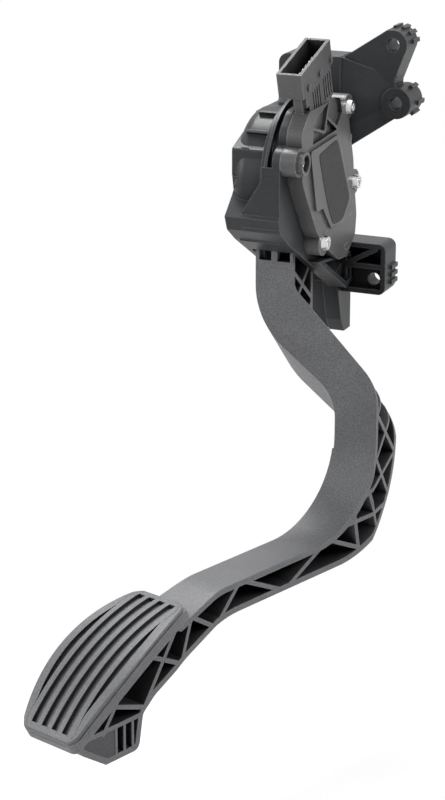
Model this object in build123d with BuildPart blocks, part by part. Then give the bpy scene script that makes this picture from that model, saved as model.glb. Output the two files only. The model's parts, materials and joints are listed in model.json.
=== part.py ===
"""Accelerator pedal with its sensor: a hanging truss arm that turns in a housing bolted to a bulkhead.

Millimetres, +X to the driver's right, +Y towards the bulkhead, +Z up. The origin is the centre of the upper
mounting hole on the mounting face. Places are counted from the pivot axis; spot() turns them into that frame.
"""
import math
import os

from build123d import *

os.makedirs("parts", exist_ok=True)

# Mounting holes, counted from the pivot
MOUNT_FACE_Y = 61.0
MOUNT_HOLE_R = 3.4
UPPER_HOLE_X = 40.5
UPPER_HOLE_Z = 59.5
MIDDLE_HOLE_X = 43.3
MIDDLE_HOLE_Z = 30.3
LOWER_HOLE_X = 31.0
LOWER_HOLE_Z = -64.5

# Fits
RUNNING_GAP = 0.05
PRESS_GAP = 0.02
SLIDE_GAP = 0.3
THRUST_GAP = 0.2

# Housing box
HOUSING_LEFT = -15.0
HOUSING_RIGHT = 13.5
LEFT_WALL = 2.8
RIGHT_WALL = 4.0
DRUM_R = 36.0
DRUM_STEP_X = 2.0
FLANGE_X = 5.0
FLANGE_T = 1.6
FLANGE_R = 39.3
LEFT_DRUM_R = 33.0
LEFT_DRUM_ROUND = 7.0
CAVITY_R = 24.5
CAVITY_BACK_Y = 44.0
CAVITY_ROOF_Z = 30.0
ROOM_ROOF_Z = 27.0
TOWER_R = 12.0
TOWER_ROOF = 2.5
HOUSING_BACK_Y = 49.0
BRACKET_BACK_Y = 58.0
BRACKET_FRONT_Y = 42.0
BRACKET_TOP_Z = 52.0
BRACKET_WALL = 3.0
BEAK_TIP_Y = -39.6
BEAK_TIP_Z = -15.0
FIN_TIP_Y = 40.0
FIN_TIP_Z = -68.0

# Ears and lower bracket
EAR_FRONT_Y = 45.0
EAR_R = 7.5
EAR_RIB_T = 2.2
EAR_RIB_H = 1.3
EAR_RIB_FRONT_Y = 52.0
LOWER_BOX_LEFT = 15.0
LOWER_BOX_LAP = 4.0
LOWER_BOX_RIGHT = 39.0
LOWER_BOX_R = 4.0
LOWER_BOX_TOP = -44.5
LOWER_BOX_BOTTOM = -71.5
LOWER_BOX_WALL = 2.6
LOWER_SEAT_Y = 50.0

# Full-throttle stop finger
FINGER_LEFT = 6.0
FINGER_RIGHT = 14.5
FINGER_TIP_Z = -95.0
FULL_ANGLE = 16.0
STOP_GAP = 0.35

# Shaft, bushes and hub
SHAFT_R = 4.0
BUSH_WALL = 2.0
BUSH_FLANGE_R = 8.0
BUSH_FLANGE_T = 0.8
BUSH_BOSS_R = 9.0
HUB_HALF = 7.0
HUB_R = 15.0
END_CAP_R = 20.0
CAP_RECESS = 1.8
CLIP_T = 0.8
CLIP_R = 7.0
CLIP_GROOVE_R = 3.2

# Pedal arm, upper part
ARM_FRONT_Y = -8.0
ARM_BACK_Y = 20.0
ARM_TOP_Z = -18.0
ARM_WALL = 3.0
ARM_RIB = 2.2
ROOT_LEFT = -11.5
ROOT_RIGHT = 8.7
MID_LEFT = 32.4
MID_RIGHT = 54.8
BEND_R = 45.0
SHEAR_DEG = 43.0

NECK_LAP = 7.0
NECK_DEPTH = 26.0
SKIN_WINDOWS = [(-9.5, -3.0), (0.3, 7.2)]
WINDOW_Z = -44.0
WINDOW_H = 7.0

# Pedal arm, lower part: its side plane is turned about Z, and stations count from the upper arm's front skin
ARM_YAW = 18.0
FLAT_Z = -175.5
FLAT_BACK_Z = -191.0
FLAT_HALF = 11.2
TREAD_HALF = 14.0

# Pedal pad
PAD_LENGTH = 89.5
PAD_SLOPE = 28.9
PAD_CROWN = 9.0
PAD_T = 5.0
PAD_TOP_STATION = -143.0
PAD_TOP_Z = -175.2
PAD_HALF_MID = 23.0
PAD_HALF_TOP = 15.2
PAD_HALF_BOTTOM = 16.5
PAD_CORNER_R = 5.0
GROOVE_PITCH = 6.5
GROOVE_W = 3.0
GROOVE_DEPTH = 2.2
GROOVE_END = 4.5
SIDE_GROOVE_LENGTH = 58.0

# Return springs and their seats
SPRING_Y = 24.0
LEVER_T = 7.0
LEVER_SEAT_R = 9.2
SEAT_T = 3.0
OUTER_COIL_R = 7.2
OUTER_WIRE_R = 0.9
OUTER_TURNS = 5
INNER_COIL_R = 4.3
INNER_WIRE_R = 0.7
INNER_TURNS = 6
SPRING_GAP = 0.05

# Friction shoe
SHOE_POCKET_RUN = 12.0
SHOE_RUN = 8.0
STOP_LEDGE = 15.0
SHOE_HALF = 5.0
SHOE_BACK_Y = -21.0
SHOE_POCKET_Y = -27.0
FRICTION_COIL_R = 3.2
FRICTION_WIRE_R = 0.5
FRICTION_TURNS = 3
GUIDE_T = 2.0

# Idle stop
STOP_PAD_T = 4.0
STOP_PAD_HALF = 6.0
STOP_PAD_TOP_Z = -23.0
STOP_PAD_BOTTOM_Z = -30.0

# Sensor cover
COVER_DEPTH = 8.0
COVER_PLATE = 1.5
COVER_WALL = 2.6
LABEL_T = 1.4
SCREW_LOBE_R = 6.5
SEAL_W = 1.2
SEAL_T = 0.8
SCREW_R = 1.9
SCREW_HEAD_R = 4.0
SCREW_HEAD_T = 2.6
SCREW_HEAD_TAPER = 14.0
SCREW_TIP_X = 10.2
POST_END_X = 24.7
POST_FLOOR_X = 20.0
POST_R = 5.6
POST_Y = -31.5
POST_Z = 13.1

# Connector shroud, on an axis that leans to the driver
PLUG_X = 13.9
PLUG_Y = -10.0
PLUG_Z = 61.0
PLUG_LEAN = 17.0
PLUG_W = 13.0
PLUG_L = 39.5
PLUG_WALL = 1.6
PLUG_DEPTH = 11.0
PLUG_FLOOR = 2.0
NECK_FRONT = -13.5
NECK_BACK = 17.0
NECK_LEFT = 11.9
NECK_RIGHT = 20.4
PIN_COUNT = 6
PIN_PITCH = 4.2
PIN_W = 1.2
PIN_T = 0.64
PIN_TOP = 6.0

# Circuit board and rotor
BOARD_T = 1.2
BOARD_STAND = 2.3
CHIP_T = 0.5
CARRIER_T = 1.5
CARRIER_R = 14.0
CARRIER_GAP = 0.4
TARGET_T = 0.3
TARGET_R = 13.0

# Values that follow from the sizes above
CAVITY_LEFT = HOUSING_LEFT + LEFT_WALL
CAVITY_RIGHT = HOUSING_RIGHT - RIGHT_WALL
BUSH_R = SHAFT_R + RUNNING_GAP + BUSH_WALL
CAP_FLOOR_X = HOUSING_LEFT + CAP_RECESS
BUSH_FACE = HUB_HALF + THRUST_GAP
BOSS_FACE = BUSH_FACE + BUSH_FLANGE_T
COVER_FACE_X = HOUSING_RIGHT + COVER_DEPTH
COVER_INNER_X = COVER_FACE_X - COVER_PLATE
BOARD_RIGHT_X = COVER_INNER_X - BOARD_STAND
BOARD_LEFT_X = BOARD_RIGHT_X - BOARD_T
CARRIER_LEFT_X = HOUSING_RIGHT + CARRIER_GAP
CARRIER_RIGHT_X = CARRIER_LEFT_X + CARRIER_T
MID_X = (MID_LEFT + MID_RIGHT) / 2
PLAIN_SCREWS = [(33.3, 28.8), (44.5, -12.3), (1.2, -34.4)]
ALL_SCREWS = PLAIN_SCREWS + [(POST_Y, POST_Z)]


def spot(x, y, z):
    """A place counted from the pivot, in the part's frame."""
    return Vector(x - UPPER_HOLE_X, y - MOUNT_FACE_Y, z - UPPER_HOLE_Z)


def side_plane(x):
    """Plane across the pivot axis: sketch x is Y and sketch y is Z."""
    return Plane(origin=spot(x, 0, 0), x_dir=(0, 1, 0), z_dir=(1, 0, 0))


def front_plane(y):
    """Plane seen by the driver: sketch x is X and sketch y is Z, and its normal points at the driver."""
    return Plane(origin=spot(0, y, 0), x_dir=(1, 0, 0), z_dir=(0, -1, 0))


def top_plane(z):
    """Level plane: sketch x is X and sketch y is Y."""
    return Plane(origin=spot(0, 0, z), x_dir=(1, 0, 0), z_dir=(0, 0, 1))


def outline(*points, mode=Mode.ADD):
    """Closed straight-sided face in the sketch that calls it."""
    with BuildLine() as border:
        Polyline(*points, close=True)
    make_face(border.edges(), mode=mode)


def rounded_outline(points, radii):
    """Closed face whose corners are rounded, in the sketch that calls it."""
    with BuildLine() as border:
        FilletPolyline(*points, radius=radii, close=True)
    make_face(border.edges())


def strips(lines, thickness):
    """Take thin straight strips out of the sketch that calls it, one for each pair of end points."""
    for start, end in lines:
        run = Vector(*end) - Vector(*start)
        middle = (Vector(*start) + Vector(*end)) * 0.5
        with Locations((middle.X, middle.Y)):
            turn = math.degrees(math.atan2(run.Y, run.X))
            Rectangle(run.length, thickness, rotation=turn, mode=Mode.SUBTRACT)


# Upper arm, seen from the side (Y, Z)
ARM_SIDE = [
    (ARM_FRONT_Y, ARM_TOP_Z),
    (ARM_FRONT_Y, FLAT_Z),
    (-95.0, FLAT_Z),
    (-95.0, FLAT_BACK_Z),
    (-12.0, FLAT_BACK_Z),
    (ARM_BACK_Y + 3.5, -158.0),
    (ARM_BACK_Y + 3.0, -135.0),
    (ARM_BACK_Y, -100.0),
    (ARM_BACK_Y, ARM_TOP_Z),
]
ARM_SIDE_RADII = [0, BEND_R, 0, 0, 60, 45, 60, 60, 0]
ARM_SIDE_RIBS = [
    ((ARM_FRONT_Y, -48), (ARM_BACK_Y, -70)),
    ((ARM_BACK_Y, -46), (ARM_FRONT_Y, -70)),
    ((ARM_FRONT_Y, -70), (ARM_BACK_Y, -96)),
    ((ARM_BACK_Y, -70), (ARM_FRONT_Y, -96)),
    ((ARM_FRONT_Y, -96), (ARM_BACK_Y + 1, -121)),
    ((ARM_BACK_Y, -96), (ARM_FRONT_Y, -121)),
    ((ARM_FRONT_Y, -117), (ARM_BACK_Y + 3, -149)),
    ((ARM_BACK_Y + 2, -119), (ARM_FRONT_Y - 1, -145)),
    ((ARM_FRONT_Y - 1, -139), (13, -168)),
    ((ARM_BACK_Y + 3, -146), (-17, -160)),
    ((-14, -156), (-3, -183)),
    ((9, -171), (-30, -171)),
    ((-24, -168), (-20, -190)),
    ((-14, -189), (-43, -175)),
]

# Upper arm, seen from the front (X, Z), at its front skin
ARM_LEFT_EDGE = [(ROOT_LEFT, 10.0), (ROOT_LEFT, -76.6), (MID_LEFT, -111.2), (MID_LEFT, -140.0)]
ARM_LEFT_RADII = (40.0, 24.0)
ARM_RIGHT_EDGE = [(MID_RIGHT, -140.0), (MID_RIGHT, -102.7), (ROOT_RIGHT, -55.6), (ROOT_RIGHT, 10.0)]
ARM_RIGHT_RADII = (24.0, 9.0)

# Turned frame of the lower arm
YAW = math.radians(ARM_YAW)
ACROSS = Vector(math.cos(YAW), -math.sin(YAW), 0)
ALONG = Vector(math.sin(YAW), math.cos(YAW), 0)
LOWER_ORIGIN = spot(MID_X, ARM_FRONT_Y, 0)
LOWER_SIDE = Plane(origin=LOWER_ORIGIN, x_dir=ALONG, z_dir=ACROSS)
LOWER_PLAN = Plane(origin=LOWER_ORIGIN, x_dir=ACROSS, z_dir=(0, 0, 1))

# Pad frame: its chord runs from the pad's low end to its high end
SLOPE = math.radians(PAD_SLOPE)
CHORD = ALONG * math.cos(SLOPE) + Vector(0, 0, 1) * math.sin(SLOPE)
PAD_MIDDLE = LOWER_ORIGIN + ALONG * PAD_TOP_STATION + Vector(0, 0, PAD_TOP_Z) - CHORD * (PAD_LENGTH / 2)
PAD_SECTION = Plane(origin=PAD_MIDDLE, x_dir=CHORD, z_dir=ACROSS)
PAD_FACE = Plane(origin=PAD_MIDDLE, x_dir=ACROSS, z_dir=PAD_SECTION.y_dir)
PAD_END = PAD_LENGTH / 2


def arm_front_outline(left_inset, right_edge):
    """Front outline of the upper arm between its left edge, moved in, and the given right edge."""
    left = [(x + left_inset, z) for x, z in ARM_LEFT_EDGE]
    with BuildLine() as border:
        FilletPolyline(*left, radius=ARM_LEFT_RADII)
        Polyline(left[-1], right_edge[0])
        FilletPolyline(*right_edge, radius=ARM_RIGHT_RADII)
        Polyline(right_edge[-1], left[0])
    make_face(border.edges())


def plan_corner(half):
    """Where the lower arm's straight edge, the given distance off its middle, starts beside the upper arm."""
    edge = Vector(MID_X, ARM_FRONT_Y) + Vector(ACROSS.X, ACROSS.Y) * half
    run = (MID_X + half - edge.X) / ALONG.X
    return (MID_X + half, edge.Y + ALONG.Y * run)


def plan_end(half):
    """Where that edge is, well past the place where the two parts of the arm overlap."""
    corner = plan_corner(half)
    return (corner[0] - 110.0 * ALONG.X, corner[1] - 110.0 * ALONG.Y)


# Sideways limits of the upper arm: slanted along the depth so that the bend sits lower at the back
SHEAR = math.radians(SHEAR_DEG)
SHEAR_DIR = (0, math.cos(SHEAR), -math.sin(SHEAR))
LEAD = 6.0
LIMIT_START = spot(0, ARM_FRONT_Y - LEAD, LEAD * math.tan(SHEAR))
LIMIT_PLANE = Plane(origin=LIMIT_START, x_dir=(1, 0, 0), z_dir=(0, -1, 0))
LIMIT_RUN = (LEAD + 50.0) / math.cos(SHEAR)
FAR_RIGHT = 90.0
PLAN_BOTTOM = -200.0
PLAN_RUN = 61.0
WEB_INSET = ARM_WALL * 1.2
HALF_MID = (MID_RIGHT - MID_LEFT) / 2

with BuildPart() as arm_limits:
    with BuildSketch(LIMIT_PLANE):
        arm_front_outline(0.0, ARM_RIGHT_EDGE)
    extrude(amount=LIMIT_RUN, dir=SHEAR_DIR)
    with BuildSketch(top_plane(PLAN_BOTTOM)):
        outline(
            (MID_LEFT, 45.0),
            plan_corner(-HALF_MID),
            plan_end(-HALF_MID),
            plan_end(HALF_MID),
            plan_corner(HALF_MID),
            (MID_RIGHT, 45.0),
        )
    extrude(amount=PLAN_RUN)

with BuildPart() as pocket_limits:
    with BuildSketch(LIMIT_PLANE):
        right = [(FAR_RIGHT, z) for x, z in ARM_RIGHT_EDGE[:1] + ARM_RIGHT_EDGE[-1:]]
        left = [(x + WEB_INSET, z) for x, z in ARM_LEFT_EDGE]
        with BuildLine():
            FilletPolyline(*left, radius=ARM_LEFT_RADII)
            Polyline(left[-1], right[0], right[1], left[0])
        make_face()
    extrude(amount=LIMIT_RUN, dir=SHEAR_DIR)
    with BuildSketch(top_plane(PLAN_BOTTOM)):
        corner = plan_corner(-HALF_MID)
        end = plan_end(-HALF_MID)
        outline(
            (MID_LEFT + WEB_INSET, 45.0),
            (corner[0] + WEB_INSET, corner[1]),
            (end[0] + WEB_INSET, end[1]),
            (FAR_RIGHT, end[1]),
            (FAR_RIGHT, 45.0),
        )
    extrude(amount=PLAN_RUN)

# The pockets of the upper and the lower arm meet at one place
JOINT_Y = -50.0
JOINT_STATION = -38.0
JOINT_CUT = 100.0
JOINT_LAP = 30.0
ARM_SWEEP_LEFT = -40.0
ARM_SWEEP = 130.0

with BuildPart() as arm_pockets:
    with BuildSketch(side_plane(ARM_SWEEP_LEFT)):
        rounded_outline(ARM_SIDE, ARM_SIDE_RADII)
        offset(amount=-ARM_WALL)
        with Locations((JOINT_Y, FLAT_Z)):
            Rectangle(JOINT_CUT, JOINT_CUT, align=(Align.MAX, Align.CENTER), mode=Mode.SUBTRACT)
        strips(ARM_SIDE_RIBS, ARM_RIB)
    extrude(amount=ARM_SWEEP)
    add(pocket_limits.part, mode=Mode.INTERSECT)

# Lower arm, seen from its own side (station, Z): skin, underside of the pad, foot and back flange
TREAD_ARC = ((-152.0, -180.5), (-185.5, -191.2), (-219.0, -219.5))
FOOT_BOTTOM_Z = -236.0


def lower_outline():
    """Side outline of the lower arm, in the sketch that calls it."""
    with BuildLine() as border:
        FilletPolyline(
            (-60.0, FLAT_BACK_Z),
            (-60.0, FLAT_Z),
            (-116.0, FLAT_Z),
            (-145.5, -183.5),
            radius=(0, 50),
        )
        Polyline((-145.5, -183.5), TREAD_ARC[0])
        ThreePointArc(*TREAD_ARC)
        FilletPolyline(
            TREAD_ARC[2],
            (-213.0, -226.0),
            (-198.0, FOOT_BOTTOM_Z),
            (-176.0, FOOT_BOTTOM_Z),
            (-173.0, -219.0),
            (-165.0, -212.5),
            (-143.0, -201.7),
            (-112.0, FLAT_BACK_Z),
            (-60.0, FLAT_BACK_Z),
            radius=(2, 2, 4, 5, 20, 60, 60),
        )
    make_face(border.edges())


LOWER_RIBS = [
    ((-37.0, FLAT_Z), (-68.0, FLAT_BACK_Z)),
    ((-68.0, FLAT_BACK_Z), (-101.0, FLAT_Z)),
    ((-101.0, FLAT_Z), (-119.0, -194.0)),
    ((-119.0, -194.0), (-138.0, -182.0)),
    ((-138.0, -182.0), (-146.0, -203.0)),
    ((-146.0, -203.0), (-176.0, -188.0)),
    ((-148.0, -181.0), (-172.0, -216.0)),
    ((-172.0, -216.0), (-206.0, -204.0)),
    ((-176.0, -188.0), (-200.0, -221.0)),
    ((-172.0, -219.0), (-214.0, -219.0)),
]
FOOT_RIB_STATIONS = [-180.0, -185.5, -191.0]
FLAT_START = -50.0
WIDEN_START = -118.0
WIDEN_END = -150.0
TREAD_STOP = -240.0
LOWER_SWEEP_Z = -300.0
LOWER_SWEEP = 250.0

with BuildPart() as lower_limits:
    with BuildSketch(LOWER_PLAN.offset(LOWER_SWEEP_Z)):
        outline(
            (-FLAT_HALF, FLAT_START),
            (-FLAT_HALF, WIDEN_START),
            (-TREAD_HALF, WIDEN_END),
            (-TREAD_HALF, TREAD_STOP),
            (TREAD_HALF, TREAD_STOP),
            (TREAD_HALF, WIDEN_END),
            (FLAT_HALF, WIDEN_START),
            (FLAT_HALF, FLAT_START),
        )
    extrude(amount=LOWER_SWEEP)

with BuildPart() as lower_pockets:
    with BuildSketch(LOWER_SIDE.offset(ARM_WALL - TREAD_HALF)):
        lower_outline()
        offset(amount=-ARM_WALL, kind=Kind.INTERSECTION)
        with Locations((JOINT_STATION, FLAT_BACK_Z + ARM_WALL)):
            Rectangle(JOINT_LAP, FLAT_Z - FLAT_BACK_Z - 2 * ARM_WALL, align=(Align.MAX, Align.MIN))
        strips(LOWER_RIBS, ARM_RIB)
        strips([((s, -219.0), (s, FOOT_BOTTOM_Z)) for s in FOOT_RIB_STATIONS], ARM_RIB * 0.7)
    extrude(amount=TREAD_HALF * 3)
    with BuildSketch(LOWER_PLAN.offset(LOWER_SWEEP_Z)):
        outline(
            (ARM_WALL - FLAT_HALF, JOINT_STATION),
            (ARM_WALL - FLAT_HALF, WIDEN_START),
            (ARM_WALL - TREAD_HALF, WIDEN_END),
            (ARM_WALL - TREAD_HALF, TREAD_STOP),
            (FAR_RIGHT, TREAD_STOP),
            (FAR_RIGHT, JOINT_STATION),
        )
    extrude(amount=LOWER_SWEEP, mode=Mode.INTERSECT)


def pad_band(top, bottom):
    """Band of the pad's side section between its crowned face moved by top and by bottom."""
    with BuildLine() as border:
        ThreePointArc((-PAD_END, top), (0, PAD_CROWN + top), (PAD_END, top))
        Polyline((PAD_END, top), (PAD_END, bottom))
        ThreePointArc((PAD_END, bottom), (0, PAD_CROWN + bottom), (-PAD_END, bottom))
        Polyline((-PAD_END, bottom), (-PAD_END, top))
    make_face(border.edges())


with BuildPart() as pad:
    with BuildSketch(PAD_SECTION.offset(-PAD_HALF_MID * 2)):
        pad_band(0.0, -PAD_T)
    extrude(amount=PAD_HALF_MID * 4)
    with BuildSketch(PAD_FACE.offset(-PAD_LENGTH / 2)) as barrel:
        with BuildLine():
            ThreePointArc((PAD_HALF_BOTTOM, -PAD_END), (PAD_HALF_MID, 0), (PAD_HALF_TOP, PAD_END))
            Polyline((PAD_HALF_TOP, PAD_END), (-PAD_HALF_TOP, PAD_END))
            ThreePointArc((-PAD_HALF_TOP, PAD_END), (-PAD_HALF_MID, 0), (-PAD_HALF_BOTTOM, -PAD_END))
            Polyline((-PAD_HALF_BOTTOM, -PAD_END), (PAD_HALF_BOTTOM, -PAD_END))
        make_face()
        fillet(barrel.vertices(), radius=PAD_CORNER_R)
    extrude(amount=PAD_LENGTH, mode=Mode.INTERSECT)

with BuildPart() as pad_grooves:
    with BuildSketch(PAD_SECTION.offset(-PAD_HALF_MID * 2)):
        pad_band(1.0, -GROOVE_DEPTH)
    extrude(amount=PAD_HALF_MID * 4)
    with BuildSketch(PAD_FACE.offset(-PAD_LENGTH / 2)):
        for place in (-1.5, -0.5, 0.5, 1.5):
            with Locations((place * GROOVE_PITCH, 0)):
                SlotOverall(PAD_LENGTH - 2 * GROOVE_END, GROOVE_W, rotation=90)
        for side in (-1, 1):
            with Locations((side * 2.5 * GROOVE_PITCH, 0)):
                SlotOverall(SIDE_GROOVE_LENGTH, GROOVE_W * 0.8, rotation=90)
    extrude(amount=PAD_LENGTH, mode=Mode.INTERSECT)

with BuildPart() as lower_body:
    with BuildSketch(LOWER_SIDE.offset(-PAD_HALF_MID)):
        lower_outline()
    extrude(amount=PAD_HALF_MID * 2)
    add(lower_limits.part, mode=Mode.INTERSECT)

# Pedal arm: one moulding from the hub and the spring lever down to the pad and the foot
with BuildPart() as pedal_arm:
    with BuildSketch(side_plane(ARM_SWEEP_LEFT)):
        rounded_outline(ARM_SIDE, ARM_SIDE_RADII)
    extrude(amount=ARM_SWEEP)
    add(arm_limits.part, mode=Mode.INTERSECT)
    add(lower_body.part)
    add(arm_pockets.part, mode=Mode.SUBTRACT)
    add(lower_pockets.part, mode=Mode.SUBTRACT)
    add(pad.part)
    add(pad_grooves.part, mode=Mode.SUBTRACT)
    with BuildSketch(side_plane(-HUB_HALF)):
        Circle(HUB_R)
        with Locations((ARM_FRONT_Y, ARM_TOP_Z - NECK_LAP)):
            Rectangle(NECK_DEPTH, NECK_LAP - ARM_TOP_Z, align=Align.MIN)
        with Locations((0, -LEVER_T)):
            Rectangle(SPRING_Y, LEVER_T, align=Align.MIN)
    extrude(amount=2 * HUB_HALF)
    with BuildSketch(top_plane(-LEVER_T)):
        with Locations((0, SPRING_Y)):
            Circle(LEVER_SEAT_R)
    extrude(amount=LEVER_T)
    with BuildSketch(side_plane(-HUB_HALF)):
        Circle(SHAFT_R + PRESS_GAP)
    extrude(amount=2 * HUB_HALF, mode=Mode.SUBTRACT)
    with BuildSketch(front_plane(ARM_FRONT_Y - 1.0)):
        for left, right in SKIN_WINDOWS:
            with Locations((left, WINDOW_Z)):
                Rectangle(right - left, WINDOW_H, align=Align.MIN)
    extrude(amount=-ARM_WALL - 1.5, mode=Mode.SUBTRACT)

# Housing body, seen from the side (Y, Z)
BODY_SIDE = [
    (BEAK_TIP_Y, BEAK_TIP_Z),
    (BEAK_TIP_Y + 3.0, BEAK_TIP_Z - 7.2),
    (-26.6, -29.4),
    (FIN_TIP_Y, FIN_TIP_Z),
    (HOUSING_BACK_Y, FIN_TIP_Z + 2.0),
    (HOUSING_BACK_Y, 15.0),
    (BRACKET_BACK_Y, 24.0),
    (BRACKET_BACK_Y, 34.0),
    (BRACKET_FRONT_Y, 30.0),
    (0.0, 30.0),
    (-30.0, -6.0),
]
# Block on the drum's front that holds the friction shoe, and the bracket's upright at its back
SHOE_BLOCK_SIDE = [
    (-8.0, 25.0),
    (-16.6, 22.5),
    (-30.4, 17.2),
    (-30.4, 4.5),
    (-28.4, -4.0),
    (-23.3, -14.0),
    (0.0, 0.0),
]
SHOE_BLOCK_RADII = [0, 6, 1.5, 6, 6, 0, 0]
UPRIGHT_LEFT = -20.0
UPRIGHT_R = 5.0
UPRIGHT_FOOT_Z = 28.0
# Front wall of the housing under the flange, seen from the front (X, Z)
FRONT_WALL_Y = -38.0
FRONT_WALL_BACK_Y = -20.0
FRONT_WALL = [
    (3.6, 11.0),
    (3.6, 4.0),
    (-6.5, -12.5),
    (-6.5, -20.0),
    (HOUSING_RIGHT, -20.0),
    (HOUSING_RIGHT, 11.0),
]
FLANGE_SECTOR = [(0.0, 0.0), (-57.7, 16.5), (-57.7, 60.0), (30.0, 60.0)]
# Fins on the drum: angle, left end, right end
DRUM_FINS = [(111.0, -8.0, FLANGE_X), (134.0, -10.0, FLANGE_X), (150.0, -10.0, -6.5)]
FIN_T = 1.6
FIN_FOOT_R = 29.0
FIN_TOP_R = 35.2
# Short ribs along the shoe block
BLOCK_RIBS = [(-30.2, 3.0), (-29.2, -1.6)]
BLOCK_RIB_H = 4.0
BLOCK_RIB_LEFT = -14.0
BLOCK_RIB_RIGHT = -2.0
CAP_LIP = 1.2
SHAFT_LEFT = -14.6
SPIGOT = 5.0
IDLE_GAP = 0.1
LOWER_SHELF_Z = -58.0
LOWER_BOX_RIB = ((16.0, -57.0), (34.0, -47.0))
FIN_RECESS = [
    (8.0, -46.6),
    (FIN_TIP_Y, FIN_TIP_Z + 3.2),
    (HOUSING_BACK_Y - 2.5, FIN_TIP_Z + 4.0),
    (HOUSING_BACK_Y - 2.5, -52.0),
]
FIN_RIM = 6.0
LOWER_TEETH_Z = [-66.0, -62.0, -58.0]
CAVITY_SIDE = [
    (-30.0, -12.0),
    (-33.0, -19.0),
    (-27.0, -25.0),
    (-12.0, -33.5),
    (-12.0, -60.0),
    (36.0, -85.0),
    (CAVITY_BACK_Y, -85.0),
    (CAVITY_BACK_Y, ROOM_ROOF_Z),
    (14.0, ROOM_ROOF_Z),
    (0.0, CAVITY_R),
    (-CAVITY_R, 0.0),
]

# Bracket sections (Y, Z) at its root and at its outer end
BRACKET_ROOT_X = 12.5
BRACKET_END_X = 42.0
BRACKET_CORE_X = 17.0
BRACKET_ROOT = [
    (BRACKET_BACK_Y, BRACKET_TOP_Z),
    (BRACKET_FRONT_Y + 1.0, BRACKET_TOP_Z),
    (BRACKET_FRONT_Y, 33.0),
    (BRACKET_FRONT_Y, 14.0),
    (BRACKET_FRONT_Y + 2.0, 2.0),
    (BRACKET_BACK_Y, 2.0),
]
BRACKET_END = [
    (BRACKET_BACK_Y, 43.0),
    (46.0, 43.0),
    (45.0, 38.0),
    (45.0, 30.0),
    (45.5, 22.0),
    (BRACKET_BACK_Y, 22.0),
]
CORE_ROOT = [(60.0, 48.0), (46.0, 48.0), (45.0, 33.0), (45.0, 14.5), (46.5, 6.0), (60.0, 6.0)]
CORE_END = [(60.0, 40.0), (49.0, 40.0), (48.0, 37.0), (48.0, 30.0), (48.5, 25.0), (60.0, 25.0)]
UPRIGHT_POCKET = (35.0, 49.0)
UPRIGHT_POCKETS = [(-17.0, -4.5), (-2.0, 10.5)]

# Upper ear, seen from the front (X, Z)
EAR_FACE = [(14.8, BRACKET_TOP_Z), (14.8, BRACKET_TOP_Z - 4.0), (41.0, 40.0), (47.5, 57.0), (37.5, 67.0)]
EAR_CORE = [(20.0, 51.6), (37.0, 45.2), (37.0, 52.0), (33.5, 61.0)]
EAR_BOSS_R = 6.2
EAR_SKIN = 3.0
MIDDLE_BOSS_R = 8.0
MIDDLE_FRONT_Y = 43.0
UPPER_RIB_ANGLES = [8, 40, 70, 100]
MIDDLE_RIB_ANGLES = [-47, -4, 56]

# Sensor cover, seen from the right (Y, Z)
COVER_EDGE = [
    (-28.0, 2.0),
    (-8.0, -27.0),
    (2.0, -36.0),
    (23.0, -48.5),
    (34.5, -49.5),
    (46.5, -40.5),
    (48.0, -30.0),
    (44.0, -12.0),
    (42.0, 0.5),
    (35.0, 21.0),
    (33.0, 30.0),
    (20.0, 36.0),
    (-20.0, 36.0),
    (-30.0, 27.0),
]
COVER_RADII = [8, 6, 8, 6, 6, 6, 6, 6, 6, 6, 4, 8, 8, 8]
LABEL_EDGE = [
    (-21.0, 16.4),
    (16.8, 18.0),
    (35.6, -18.6),
    (24.0, -28.8),
    (8.6, -28.6),
    (-3.5, -15.6),
    (-12.1, -15.3),
]
LABEL_RADII = [2, 2, 4, 5, 3, 1, 1]
BOARD_EDGE = [
    (-21.0, 26.0),
    (22.0, 26.0),
    (30.0, 16.0),
    (36.0, -8.0),
    (34.0, -26.0),
    (4.0, -22.0),
    (-6.0, -18.0),
    (-21.0, 4.0),
]
BOARD_POST_R = 2.0
SEAL_INSET = 0.7
SCREW_HOLE_R = 2.1
HEX_R = 2.2
HEX_DEPTH = 1.4
CHIP_SIZE = 7.0
SLOT_TOP = 14.5
SLOT_LENGTH = 12.5
# Well between the connector and the label field
WELL_EDGE = [
    (-15.0, 18.6),
    (17.0, 20.0),
    (25.0, 27.5),
    (22.0, 35.0),
    (14.0, 38.5),
    (-10.0, 31.5),
    (-14.0, 27.0),
]
WELL_RIBS = [((-16.0, 27.0), (1.0, 22.0)), ((1.0, 22.0), (7.0, 37.0)), ((4.0, 29.0), (20.0, 20.0))]
WELL_RIB_T = 1.3
WELL_DEPTH = 2.3
WELL_PLATE = 1.2
BOARD_POSTS = [(-16.0, 10.0), (26.0, 12.0), (30.0, -20.0)]
POST_LOBE_R = 7.0
COVER_CLEARANCE = 0.4

# Connector frame: sketch x is X, sketch y runs along the plug, and depths count down from its rim
LEAN = math.radians(PLUG_LEAN)
PLUG = Plane(origin=spot(PLUG_X, PLUG_Y, PLUG_Z), x_dir=(1, 0, 0), z_dir=(0, -math.sin(LEAN), math.cos(LEAN)))
FLOOR_DEPTH = PLUG_DEPTH + PLUG_FLOOR
JOG_DEPTH = FLOOR_DEPTH + 3.5
NECK_DEPTH_END = 44.0
PIN_END_DEPTH = 38.0
CHANNEL_LEFT = 14.9
CHANNEL_RIGHT = 17.4
CHANNEL_HALF = 12.0
TONGUE_W = 4.0
TONGUE_L = 3.0
TONGUE_DEPTH = 6.0
BRACE_LEFT = 14.5
BRACE_RIGHT = 18.5
BRACE_SIDE = [(-24.0, 45.0), (-20.0, 46.0), (-13.5, 26.0), (-18.0, 25.0)]
JOG_LEFT = 13.3
PEG_R = 1.6
PEG_DEPTH = 9.7
PEG_H = 1.2
PEG_PLACES = [-13.0, 2.2, 17.2]
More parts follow.
